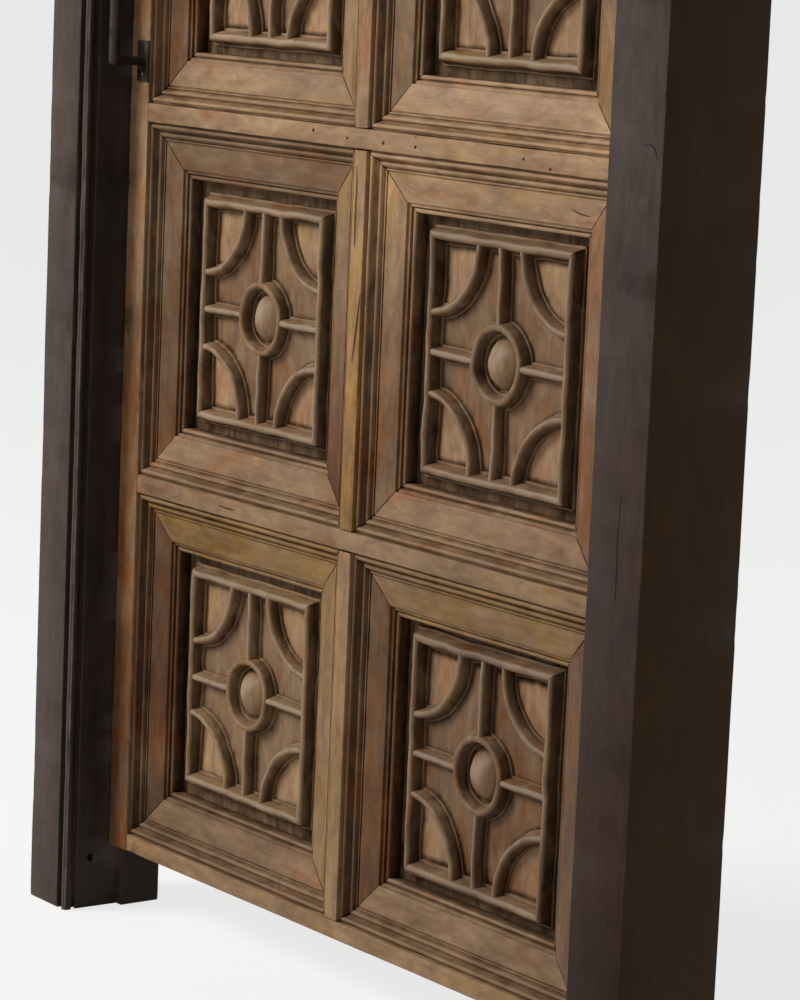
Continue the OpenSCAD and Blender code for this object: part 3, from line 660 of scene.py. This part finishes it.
def strip(outline, round_corners, length, gap_mm, step_mm):
    """A strip along +X with mitred ends: z counts from its outer edge, y down from the flats."""
    bm = new_wood_mesh()
    verts = [bm.verts.new((0, drop * MM, u * MM)) for u, drop in outline]
    bm.faces.new(verts)
    chosen = [v for v, point in zip(verts, outline) if point in round_corners]
    if chosen:
        bmesh.ops.bevel(
            bm, geom=chosen, offset=ROUND_MM * MM, offset_type="OFFSET", segments=ROUND_SEGMENTS,
            profile=0.5, affect="VERTICES", material=-1,
        )
    made = bmesh.ops.extrude_face_region(bm, geom=bm.faces[:])["geom"]
    bmesh.ops.translate(bm, vec=(length, 0, 0), verts=only(bmesh.types.BMVert, made))
    half_gap = gap_mm * MM / 2
    ends = (half_gap, Vector((-1, 0, 1))), (length - half_gap, Vector((1, 0, 1)))
    for end, outward in ends:
        cut = bmesh.ops.bisect_plane(
            bm, geom=everything(bm), dist=MERGE_MM * MM,
            plane_co=(end, 0, 0), plane_no=outward, clear_outer=True,
        )["geom_cut"]
        bmesh.ops.edgenet_fill(bm, edges=only(bmesh.types.BMEdge, cut))
    bmesh.ops.remove_doubles(bm, verts=bm.verts, dist=MERGE_MM * MM)
    bmesh.ops.recalc_face_normals(bm, faces=bm.faces)
    cut_loops(bm, X, step_mm * MM)
    for end, outward in ends:
        bmesh.ops.bisect_plane(
            bm, geom=everything(bm), dist=MERGE_MM * MM,
            plane_co=Vector((end, 0, 0)) - outward * MITRE_LINE_MM * MM, plane_no=outward,
        )
    return bm


def place_strip(target, master, corner, angle, tone, relief):
    """Adds a copy of a strip to a mesh, turned about the opening's corner, with its own grain and tone."""
    grain, tones = wood_layers(target)
    start = len(target.verts)
    target.from_mesh(master)
    target.verts.ensure_lookup_table()
    added = target.verts[start:]
    shift = random_offset()
    length = max(v.co.x for v in added)
    for v in added:
        u, drop = v.co.z / MM, v.co.y / MM
        from_mitre = min(v.co.x, length - v.co.x) / MM - u
        rub = relief(u, drop) * (MITRE_RUB if from_mitre < MITRE_LINE_MM else 1)
        v[grain] = Vector((v.co.z, v.co.y, v.co.x)) + shift
        v[tones] = Vector((*drift(tone, v.co.x / length, v.co.x, shift), rub))
    matrix = Matrix.Translation(corner) @ Matrix.Rotation(math.radians(angle), 4, "Y")
    bmesh.ops.transform(target, matrix=matrix, verts=added)


def mitred_frame(target, masters, low, high, tones, relief):
    """Four strips around the opening between two corners: bottom, right, top, left."""
    corners = (
        (Vector((low.x, low.y, low.z)), 0, 0),
        (Vector((high.x, low.y, low.z)), -90, 1),
        (Vector((high.x, low.y, high.z)), 180, 0),
        (Vector((low.x, low.y, high.z)), 90, 1),
    )
    for (corner, angle, which), tone in zip(corners, tones):
        place_strip(target, masters[which], corner, angle, tone, relief)


def as_mesh(bm, name):
    """A mesh to copy from, out of a finished bmesh."""
    mesh = bpy.data.meshes.new(name)
    bm.to_mesh(mesh)
    bm.free()
    return mesh


low, high = opening("left", 1)
moulding_masters = [
    as_mesh(strip(moulding_outline, MOULDING_ROUND, length, MITRE_GAP_MM, STRIP_STEP_MM), "strip")
    for length in (high.x - low.x, high.z - low.z)
]
print("points in a strip:", [len(m.vertices) for m in moulding_masters])

# %% [markdown]
# On the door the mouldings show every hand that has wiped them. Beads and corners are rubbed, and
# the quirks between them hold dark wax, which also paints the shade in them. Where a point lies on
# the outline says which it is. Each strip has its own tone, because each was cut from another plank.

# %% Mouldings
ARRIS_MM = 0.8
# Low rubbing at bead feet and in quirks gives dark wax that also paints their shade
BEAD_FOOT_RUB, BEAD_RUB, BEAD_GAIN, BEAD_CURVE = 0.12, 0.38, 0.36, 0.4
FILLET_RUB, QUIRK_RUB, ARRIS_RUB, STEP_RUB = 0.6, 0.34, 0.8, 0.35
STRIP_WEAR_MM, STRIP_WEAR_SIZE_MM = 0.9, 40
OTHER_STRIP_LIGHT, OTHER_STRIP_HUE = (-0.4, 0.1), (-0.5, 0.6)


def moulding_relief(u, drop):
    """How much rubbing a point of the moulding gets: corners and crests much, quirks little."""
    for middle_u, middle_drop, radius in BEADS_MM:
        if abs(u - middle_u) <= radius and drop > middle_drop + ARRIS_MM:
            return BEAD_FOOT_RUB
        if abs(u - middle_u) <= radius:
            return BEAD_RUB + BEAD_GAIN * max(0, (middle_drop - drop) / radius) ** BEAD_CURVE
    if u < SLOPE_MM[0][0] - ARRIS_MM:
        on_fillet = FILLET_MM[0][0] <= u <= FILLET_MM[1][0] and drop < FILLET_MM[0][1] + ARRIS_MM
        return FILLET_RUB if on_fillet else QUIRK_RUB
    if min(abs(u - SLOPE_MM[0][0]), abs(u - SLOPE_MM[1][0])) < ARRIS_MM:
        return ARRIS_RUB
    return FLAT_RUB if u < SLOPE_MM[1][0] else STEP_RUB


# Tones of the strips, in the order bottom, right, top, left
MOULDING_TONES = {
    ("left", 2): (
        (0, 0, -0.25, 0), (-0.82, -1, 0.04, 0.8), (-0.28, -0.15, -0.36, -0.15), (-0.4, -0.2, -0.6, -0.5),
    ),
    ("right", 2): (
        (-0.2, -0.05, -0.02, -0.1), (-0.42, -0.55, -0.1, -0.25),
        (0.1, 0, 0.32, 0), (0.75, 0.4, -0.4, -0.3, 0.5),
    ),
    ("left", 1): (
        (-0.25, 0, -0.16, 0), (-0.12, 0.45), (-0.25, 0.7, -0.18, 0.6), (-0.65, -0.55, -0.68, -0.45),
    ),
    ("right", 1): ((-0.2, 0), (-0.34, -0.3, -0.66, -0.4), (-0.17, 0.6), (-0.53, -0.45, -0.55, -0.5)),
    ("left", 3): ((0, 0), (-0.2, 0.4), (-0.2, 0), (-0.4, -0.4)),
    ("right", 3): ((0.2, 0, 0.45, 0), (-0.2, 0.4), (-0.05, 0.1), (-0.2, -0.2)),
}


def random_tones():
    """Tones for the four strips of a panel that the picture doesn't show."""
    return [(chance.uniform(*OTHER_STRIP_LIGHT), chance.uniform(*OTHER_STRIP_HUE)) for _ in range(4)]


for side in SIDES:
    for row in ROWS:
        low, high = opening(side, row)
        strip_tones = MOULDING_TONES.get((side, row)) or random_tones()
        bm = new_wood_mesh()
        mitred_frame(bm, moulding_masters, low, high, strip_tones, moulding_relief)
        weather(bm, STRIP_WEAR_MM * MM, STRIP_WEAR_SIZE_MM * MM, random_offset())
        name = f"mitred_moulding_{side}_{row}"
        finish_piece(bm, name, "door", door_wood, [f"moulding_{side}_{row}"])
print("mouldings done")

# %% [markdown]
# Each panel is one board with its relief cut from the front: a square of rounded strands, quarter
# arcs in its corners, spokes, a ring and a domed boss. Straight strands are extruded, arcs and ring
# are spun from the same outline, and the boss is a sphere's cap. Rubbing follows the height on a
# strand: its crest is bare and pale, partly as a painted highlight, and its flanks keep their wax,
# which also paints their shade.

# %% Carving parts
CARVED_SIDE_MM = 78
CARVED_END_MM = 73
SQUARE_STRAND_MM = 19
SQUARE_LAP_MM = 0.2
STRAND_MM = 16
CREST_SHARE = 0.23
FLANK_SHARE = 0.37
FOOT_SHARE = 0.19
FOOT_SLOPE_MM = 0.4
ROOT_MM = 2
SQUARE_H_MM, ARC_H_MM, RING_H_MM, SPOKE_H_MM, BOSS_H_MM = 16, 14.8, 15.2, 14, 14.6
ARC_R_MM, RING_R_MM, BOSS_R_MM = 77, 37, 26
STRAND_STEPS, ARC_STEPS, RING_STEPS = 10, 28, 72
STRAND_STEP_MM = 6
BOSS_SEGMENTS, BOSS_RINGS = 48, 64
CREST_START = 0.25
FOOT_RUB, FOOT_EDGE = 0.46, 1.02
# Low rubbing on flanks gives dark wax that also paints their shade
FLANK_RUB, CREST_CURVE = 0.18, 0.8
BOSS_RIM_RUB, BOSS_GAIN, BOSS_CURVE = 0.2, 0.72, 0.7


def strand_outline(width, height, middle):
    """Outline of a strand, from its outer foot over its rounded back to its inner foot, from the flats."""
    foot = FOOT_SHARE * height
    half = width / 2
    flank = FLANK_SHARE * width
    radius = CREST_SHARE * width
    angles = [CREST_START + (math.pi - 2 * CREST_START) * i / STRAND_STEPS for i in range(STRAND_STEPS + 1)]
    back = [(-radius * math.cos(a), height - radius + radius * math.sin(a)) for a in angles]
    points = [(-half, -ROOT_MM), (-half, foot), (-flank, foot + FOOT_SLOPE_MM)] + back
    points += [(flank, foot + FOOT_SLOPE_MM), (half, foot), (half, -ROOT_MM)]
    return [(middle + u, GROUND_MM - h) for u, h in points]


def strand_relief(full_height, crest_rub):
    """Rubbing on a strand of that height: most on its crest, little on its flanks and its foot's edge, so the
    crest is pale with wear and painted highlight and the flanks dark with wax and painted shade.
    """
    def relief(u, drop):
        height = GROUND_MM - drop
        if height < FOOT_EDGE * FOOT_SHARE * full_height:
            return FOOT_RUB
        radius = CREST_SHARE * STRAND_MM
        back = (height - full_height + radius) / radius
        return FLANK_RUB + (crest_rub - FLANK_RUB) * min(1, max(0, back)) ** CREST_CURVE

    return relief


def boss_relief(u, drop):
    """Rubbing on the boss: it is open to the hand all over, but for its rim."""
    return BOSS_RIM_RUB + BOSS_GAIN * min(1, max(0, (GROUND_MM - drop) / BOSS_H_MM)) ** BOSS_CURVE


def spun_strand(height, radius_mm, angle, steps):
    """A strand spun about the panel's normal: it starts on +X at its radius and turns towards +Z."""
    bm = new_wood_mesh()
    points = [(u * MM, drop * MM, 0) for u, drop in strand_outline(STRAND_MM, height, radius_mm)]
    face = bm.faces.new([bm.verts.new(p) for p in points])
    full = angle == 360
    bmesh.ops.spin(
        bm, geom=[face] + face.edges[:] + face.verts[:], cent=(0, 0, 0), axis=(0, -1, 0),
        angle=math.radians(angle), steps=steps, use_merge=full, use_duplicate=False,
    )
    bmesh.ops.remove_doubles(bm, verts=bm.verts, dist=MERGE_MM * MM)
    if full:
        inner = [f for f in bm.faces if len(f.verts) > 4]
        bmesh.ops.delete(bm, geom=inner, context="FACES_ONLY")
    bmesh.ops.recalc_face_normals(bm, faces=bm.faces)
    return bm


def straight_strand(height, length_mm):
    """A strand along +X from the origin, centred on z = 0."""
    bm = new_wood_mesh()
    bm.faces.new([bm.verts.new((0, drop * MM, u * MM)) for u, drop in strand_outline(STRAND_MM, height, 0)])
    made = bmesh.ops.extrude_face_region(bm, geom=bm.faces[:])["geom"]
    bmesh.ops.translate(bm, vec=(length_mm * MM, 0, 0), verts=only(bmesh.types.BMVert, made))
    bmesh.ops.recalc_face_normals(bm, faces=bm.faces)
    cut_loops(bm, X, STRAND_STEP_MM * MM)
    return bm


def boss():
    """The cap of a sphere, with its rim below the ground."""
    dome_r = (BOSS_R_MM ** 2 + BOSS_H_MM ** 2) / (2 * BOSS_H_MM)
    bm = new_wood_mesh()
    bmesh.ops.create_uvsphere(bm, u_segments=BOSS_SEGMENTS, v_segments=BOSS_RINGS, radius=dome_r * MM)
    bmesh.ops.rotate(bm, verts=bm.verts, cent=(0, 0, 0), matrix=Matrix.Rotation(math.radians(90), 3, "X"))
    bmesh.ops.translate(bm, vec=(0, (GROUND_MM - BOSS_H_MM + dome_r) * MM, 0), verts=bm.verts)
    cut = bmesh.ops.bisect_plane(
        bm, geom=everything(bm), dist=MERGE_MM * MM,
        plane_co=(0, (GROUND_MM + ROOT_MM) * MM, 0), plane_no=(0, 1, 0), clear_outer=True,
    )["geom_cut"]
    bmesh.ops.edgenet_fill(bm, edges=only(bmesh.types.BMEdge, cut))
    bmesh.ops.recalc_face_normals(bm, faces=bm.faces)
    return bm


low, high = opening("left", 1)
carved_inset = Vector((CARVED_SIDE_MM * MM, 0, CARVED_END_MM * MM))
square_size = high - low - 2 * carved_inset
square_outline = strand_outline(SQUARE_STRAND_MM, SQUARE_H_MM, SQUARE_STRAND_MM / 2)
square_masters = [
    as_mesh(strip(square_outline, [], length, -SQUARE_LAP_MM, STRAND_STEP_MM), "side")
    for length in (square_size.x, square_size.z)
]
crest = (square_size - Vector((SQUARE_STRAND_MM * MM, 0, SQUARE_STRAND_MM * MM))) / 2
arc_master = as_mesh(spun_strand(ARC_H_MM, ARC_R_MM, 90, ARC_STEPS), "arc")
ring_master = as_mesh(spun_strand(RING_H_MM, RING_R_MM, 360, RING_STEPS), "ring")
spoke_masters = [
    as_mesh(straight_strand(SPOKE_H_MM, reach / MM - RING_R_MM), "spoke") for reach in (crest.x, crest.z)
]
boss_master = as_mesh(boss(), "boss")
masters = (arc_master, ring_master, spoke_masters[0], boss_master)
print("arc, ring, spoke, boss:", [len(m.vertices) for m in masters])

# %% [markdown]
# A carver sinks the ground first and leaves the strands standing, so no two panels are quite alike.
# Here copies of the parts are set on a board, the whole relief is stretched a little, and a slow
# noise moves it by a millimetre or so. Faces turned up and to the left, towards the lamp, get more
# rubbing and less dark wax: painted light on their lit side.

# %% Carved panels
BOARD_STEPS = 90
TONGUE_MM = 6
BACK_RECESS_MM = 4
# Dark wax, which also paints shade, darkens the ground near strands and in the channel outside the square
WAX_AND_SHADE_REACH_MM = 7
CHANNEL_RUB, CHANNEL_GAIN = 0.2, 0.1
GROUND_RUB, GROUND_GAIN, GROUND_CURVE = 0.16, 0.5, 0.5
SQUARE_RUB, ARC_RUB, SPOKE_RUB, RING_RUB = 0.93, 0.9, 1, 0.7
STRAND_SHADE = 0.05
BOSS_GLEAM = 0.08
# The direction towards the lamp, up and to the left: faces turned to it are painted lighter
LAMP_SIDE = Vector((-0.62, -0.1, 0.77))
LAMP_SIDE_RUB = 0.38
# The ground's corners are lighter partly as painted light, against the shadows that the strands cast there
CORNER_TONE, PETAL_TONE = (0.32, 0), (-0.12, -0.1)
PANEL_TONES = {
    ("left", 2): (-0.1, 0), ("right", 2): (-0.18, -0.08),
    ("left", 1): (-0.1, 0.1), ("right", 1): (-0.26, -0.15),
}
OTHER_PANEL_LIGHT, OTHER_PANEL_HUE = (-0.15, 0), (-0.1, 0.15)
# How much taller a panel's relief is than drawn, and how far up it sits in mm
PANEL_STRETCH = {("left", 2): (1.012, -1.5), ("left", 1): (1.006, 1), ("right", 1): (1.04, 0.5)}
OTHER_STRETCH, OTHER_LIFT = (1, 1.03), (-1, 1)
WOBBLE_MM, WOBBLE_SIZE_MM = 1.4, 34
RIPPLE_MM, RIPPLE_SIZE_MM = 0.7, 13
FRONT_SLACK_MM = 0.1


def add_part(target, master, matrix, shift, tone, relief):
    """Adds a copy of a carved part to a panel. The grain of the board runs upwards through it."""
    grain, tones = wood_layers(target)
    start = len(target.verts)
    target.from_mesh(master)
    target.verts.ensure_lookup_table()
    added = target.verts[start:]
    for v in added:
        v[tones] = Vector((tone[0], tone[1], relief(0, v.co.y / MM)))
    bmesh.ops.transform(target, matrix=matrix, verts=added)
    for v in added:
        v[grain] = v.co + shift


def ground_relief(place):
    """Tone and rubbing on the ground: its corners are paler than its petals, and wax with painted shade
    gathers along strands.
    """
    x, z = abs(place.x) / MM, abs(place.z) / MM
    side, end = crest.x / MM, crest.z / MM
    outside = x > side or z > end
    half = STRAND_MM / 2
    gaps = [abs(math.hypot(x, z) - RING_R_MM) - half, math.hypot(x, z) - BOSS_R_MM]
    gaps += [abs(x - side) - SQUARE_STRAND_MM / 2, abs(z - end) - SQUARE_STRAND_MM / 2]
    if not outside:
        gaps += [abs(math.hypot(x - side, z - end) - ARC_R_MM) - half]
        gaps += [z - half] if x > RING_R_MM else []
        gaps += [x - half] if z > RING_R_MM else []
    clear = min(1, max(0, min(gaps)) / WAX_AND_SHADE_REACH_MM)
    if outside:
        return Vector((0, 0, CHANNEL_RUB + CHANNEL_GAIN * clear))
    in_corner = math.hypot(x - side, z - end) < ARC_R_MM
    rub = GROUND_RUB + GROUND_GAIN * clear ** GROUND_CURVE
    return Vector((*(CORNER_TONE if in_corner else PETAL_TONE), rub))


def board(target, low, high, shift, tone):
    """The panel's board: a grid on the ground, pulled back to its thickness."""
    grain, tones = wood_layers(target)
    size = high - low
    middle = (low + high) / 2
    span = Vector((size.x + 2 * TONGUE_MM * MM, size.z + 2 * TONGUE_MM * MM))
    made = bmesh.ops.create_grid(target, x_segments=BOARD_STEPS, y_segments=BOARD_STEPS, size=0.5)["verts"]
    matrix = (
        Matrix.Translation((middle.x, flats_y + GROUND_MM * MM, middle.z))
        @ Matrix.Rotation(math.radians(90), 4, "X") @ Matrix.Diagonal((span.x, span.y, 1, 1))
    )
    bmesh.ops.transform(target, matrix=matrix, verts=made)
    faces = list({f for v in made for f in v.link_faces})
    back = bmesh.ops.extrude_face_region(target, geom=faces)["geom"]
    moved = only(bmesh.types.BMVert, back)
    back_y = leaf_back_y - BACK_RECESS_MM * MM
    bmesh.ops.translate(target, vec=(0, back_y - flats_y - GROUND_MM * MM, 0), verts=moved)
    for v in made + moved:
        v[grain] = v.co + shift
    for v in made:
        v[tones] = Vector((*tone, 0)) + ground_relief(v.co - middle)
    for v in moved:
        v[tones] = Vector((*tone, FLAT_RUB))
    bmesh.ops.recalc_face_normals(target, faces=target.faces)


# %% [markdown]
# With the board and the parts at hand, ten panels are put together. Each draws its own shift of the
# grain, so that no two show the same wood.

# %% Carved panels made
def carved_panel(side, row):
    """One panel with its relief."""
    low, high = opening(side, row)
    middle = (low + high) / 2
    shift = random_offset()
    tone = (chance.uniform(*OTHER_PANEL_LIGHT), chance.uniform(*OTHER_PANEL_HUE))
    tone = PANEL_TONES.get((side, row), tone)
    bm = new_wood_mesh()
    board(bm, low, high, shift, tone)
    board_points = len(bm.verts)
    strand = (tone[0] - STRAND_SHADE, tone[1])
    square = low + carved_inset, high - carved_inset
    mitred_frame(bm, square_masters, *square, [strand] * 4, strand_relief(SQUARE_H_MM, SQUARE_RUB))
    centre = Vector((middle.x, flats_y, middle.z))
    for quarter in range(4):
        turned = Matrix.Rotation(math.radians(-90 * quarter), 4, "Y")
        corner = Vector((-crest.x if quarter in (0, 3) else crest.x, 0, -crest.z if quarter < 2 else crest.z))
        place = Matrix.Translation(centre + corner) @ turned
        add_part(bm, arc_master, place, shift, strand, strand_relief(ARC_H_MM, ARC_RUB))
        place = Matrix.Translation(centre + turned @ Vector((RING_R_MM * MM, 0, 0))) @ turned
        add_part(bm, spoke_masters[quarter % 2], place, shift, strand, strand_relief(SPOKE_H_MM, SPOKE_RUB))
    place = Matrix.Translation(centre)
    add_part(bm, ring_master, place, shift, strand, strand_relief(RING_H_MM, RING_RUB))
    add_part(bm, boss_master, place, shift, (tone[0] + BOSS_GLEAM, tone[1]), boss_relief)
    tones = wood_layers(bm)[1]
    bm.normal_update()
    bm.verts.ensure_lookup_table()
    # Painted light: faces turned towards the lamp get more rubbing, so less dark wax and more pale wear
    for v in bm.verts[board_points:]:
        v[tones] += Vector((0, 0, LAMP_SIDE_RUB * max(0, v.normal.dot(LAMP_SIDE))))
    stretch_and_lift = (chance.uniform(*OTHER_STRETCH), chance.uniform(*OTHER_LIFT))
    stretch, lift = PANEL_STRETCH.get((side, row), stretch_and_lift)
    for v in bm.verts[board_points:]:
        v.co.z = middle.z + (v.co.z - middle.z) * stretch + lift * MM
    front_y = flats_y + (GROUND_MM + FRONT_SLACK_MM) * MM
    for v in bm.verts:
        if v.co.y < front_y and low.x < v.co.x < high.x and low.z < v.co.z < high.z:
            v.co += WOBBLE_MM * MM * noise.noise_vector(v.co / (WOBBLE_SIZE_MM * MM) + shift)
            v.co.y += RIPPLE_MM * MM * noise.noise(v.co / (RIPPLE_SIZE_MM * MM) + shift)
    name = f"carved_panel_{side}_{row}"
    return finish_piece(bm, name, "door", door_wood, [f"panel_{side}_{row}"])


for side in SIDES:
    for row in ROWS:
        piece = carved_panel(side, row)
print("points in a panel:", len(piece.data.vertices))

# %% [markdown]
# Old doors keep their small injuries. Nails have left holes in the second rail, and the wood has split
# along its grain in places. A split is a thin dark wedge: a ribbon drawn along its path, widest
# in the middle, and pushed into the wood.

# %% Nails and splits
NAIL_R_MM = 1.4
NAIL_SPREAD = (0.8, 1.2)
NAIL_SHAPE = Vector((1.4, 0.12, 0.9))
NAIL_PLACES_MM = (
    (-94.8, 936), (-32.6, 932.1), (31.4, 931.6), (86.7, 931.6), (264.3, 933.1), (307.2, 926.5),
)
SPLIT_WIDTH_MM = 1.3
SPLIT_PROUD_MM = 0.1
SPLIT_DEPTH_MM = 0.3
SPLIT_TIP_STEPS = 0.4
SLOPE_DROP_MM = 16
LEAF_SPLITS_MM = (
    (0, ((1.5, 772), (-1.2, 752), (-3.8, 733), (-6, 716), (-9, 700))),
    (0, ((-14, 905), (-12.5, 880), (-13.2, 850), (-12, 820))),
    (SLOPE_DROP_MM, ((310.1, 891.8), (324.2, 889.2), (336.8, 885.5), (352.2, 883.9))),
    (0, ((-250, 509.5), (-232, 508.7), (-220, 509))),
)
JAMB_SPLITS_MM = (
    ((512, 966), (521, 966.5), (527.6, 962), (531, 954)),
    ((505, 640), (503, 600), (504, 540)),
)


def dark_material():
    """Dirt and old wax packed into nail holes and splits: almost black, and dull."""
    material, tree = new_material("packed_dark_wax")
    shader = add(
        tree, "ShaderNodeBsdfPrincipled",
        {"Base Color": linear("#1a100a"), "Roughness": 0.7, "Specular IOR Level": 0.2},
    )
    add(tree, "ShaderNodeOutputMaterial", {"Surface": shader.outputs[0]})
    return material


def split(target, path, y):
    """Adds one split to a mesh: a ribbon along the path, a little proud of the wood, pushed into it."""
    points = [Vector((x * MM, y - SPLIT_PROUD_MM * MM, z * MM)) for x, z in path]
    sides = []
    for i, point in enumerate(points):
        ahead_point = points[min(i + 1, len(points) - 1)]
        back_point = points[max(i - 1, 0)]
        across = (ahead_point - back_point).cross(Vector((0, 1, 0))).normalized()
        open_share = math.sin(math.pi * (i + SPLIT_TIP_STEPS) / (len(points) - 1 + 2 * SPLIT_TIP_STEPS))
        half = across * SPLIT_WIDTH_MM * MM / 2 * open_share
        sides.append((target.verts.new(point - half), target.verts.new(point + half)))
    faces = [target.faces.new((a[0], a[1], b[1], b[0])) for a, b in zip(sides, sides[1:])]
    made = bmesh.ops.extrude_face_region(target, geom=faces)["geom"]
    bmesh.ops.translate(target, vec=(0, SPLIT_DEPTH_MM * MM, 0), verts=only(bmesh.types.BMVert, made))


def finish_marks(bm, name, body):
    """Finishes a mesh of dark marks, which replaces nothing."""
    bmesh.ops.recalc_face_normals(bm, faces=bm.faces)
    return finish_piece(bm, name, body, packed_wax, [])


packed_wax = dark_material()
bm = bmesh.new()
for x, z in NAIL_PLACES_MM:
    size = chance.uniform(*NAIL_SPREAD) * NAIL_R_MM * MM
    turned = Matrix.Rotation(chance.uniform(0, math.pi), 3, "Y")
    shape = Matrix.LocRotScale(Vector((x * MM, flats_y, z * MM)), turned, NAIL_SHAPE)
    bmesh.ops.create_icosphere(bm, subdivisions=2, radius=size, matrix=shape)
finish_marks(bm, "old_nail_holes", "door")
bm = bmesh.new()
for drop, path in LEAF_SPLITS_MM:
    split(bm, path, flats_y + drop * MM)
finish_marks(bm, "splits_in_leaf", "door")
bm = bmesh.new()
for path in JAMB_SPLITS_MM:
    split(bm, path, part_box("right_jamb")[0].y + SPLIT_PROUD_MM * MM)
finish_marks(bm, "splits_in_jamb", "frame")
print(len(NAIL_PLACES_MM), "nail holes and", len(LEAF_SPLITS_MM + JAMB_SPLITS_MM), "splits")

# %% [markdown]
# A photographer would light this with one large soft lamp from the front left and let a white room
# fill the shadows. The floor is pale. To the camera and to mirrors the room is plain white.

# %% Light and floor
KEY_PLACE = Vector((-2.5, -3.7, 3.5))
KEY_AIM = Vector((0, 0, 0.9))
KEY_SIZE = 1.8
KEY_WATTS = 245
FILL_STRENGTH = 0.26
FLOOR_SIZE = 160
FLOOR_GLOW = 0.75
floor_z = cad_box[0].z

key_data = bpy.data.lights.new("key", "AREA")
key_data.shape = "SQUARE"
key_data.size = KEY_SIZE
key_data.energy = KEY_WATTS
key = bpy.data.objects.new("key", key_data)
key.location = KEY_PLACE
key.rotation_euler = (KEY_AIM - KEY_PLACE).to_track_quat("-Z", "Y").to_euler()
bpy.context.scene.collection.objects.link(key)

world = bpy.data.worlds.new("white_room")
bpy.context.scene.world = world
world.use_nodes = True
world.node_tree.nodes.clear()


def seen_directly(tree):
    """One for camera, mirror and glass rays, nothing for the light that falls on surfaces."""
    path = add(tree, "ShaderNodeLightPath").outputs
    seen = path["Is Camera Ray"]
    for other in ("Is Glossy Ray", "Is Transmission Ray"):
        seen = add(tree, "ShaderNodeMath", {0: seen, 1: path[other]}, operation="MAXIMUM").outputs[0]
    return seen


strength = add(
    world.node_tree, "ShaderNodeMapRange", {0: seen_directly(world.node_tree), 3: FILL_STRENGTH, 4: 1}
)
room = add(world.node_tree, "ShaderNodeBackground", {"Color": (1, 1, 1, 1), "Strength": strength.outputs[0]})
add(world.node_tree, "ShaderNodeOutputWorld", {"Surface": room.outputs[0]})

floor_material, tree = new_material("pale_floor")
paint = add(tree, "ShaderNodeBsdfDiffuse", {"Color": linear("#f2f0ed")})
glow = add(tree, "ShaderNodeEmission", {"Color": (1, 1, 1, 1), "Strength": 1})
share = add(tree, "ShaderNodeMath", {0: seen_directly(tree), 1: FLOOR_GLOW}, operation="MULTIPLY")
surface = add(tree, "ShaderNodeMixShader", {0: share.outputs[0], 1: paint.outputs[0], 2: glow.outputs[0]})
add(tree, "ShaderNodeOutputMaterial", {"Surface": surface.outputs[0]})
bm = bmesh.new()
bmesh.ops.create_grid(bm, x_segments=1, y_segments=1, size=FLOOR_SIZE / 2)
bmesh.ops.translate(bm, vec=(0, 0, floor_z), verts=bm.verts)
floor_mesh = as_mesh(bm, "floor")
floor_mesh.materials.append(floor_material)
floor = bpy.data.objects.new("floor", floor_mesh)
bpy.context.scene.collection.objects.link(floor)
bpy.context.scene.view_settings.view_transform = "Standard"
print("lit")
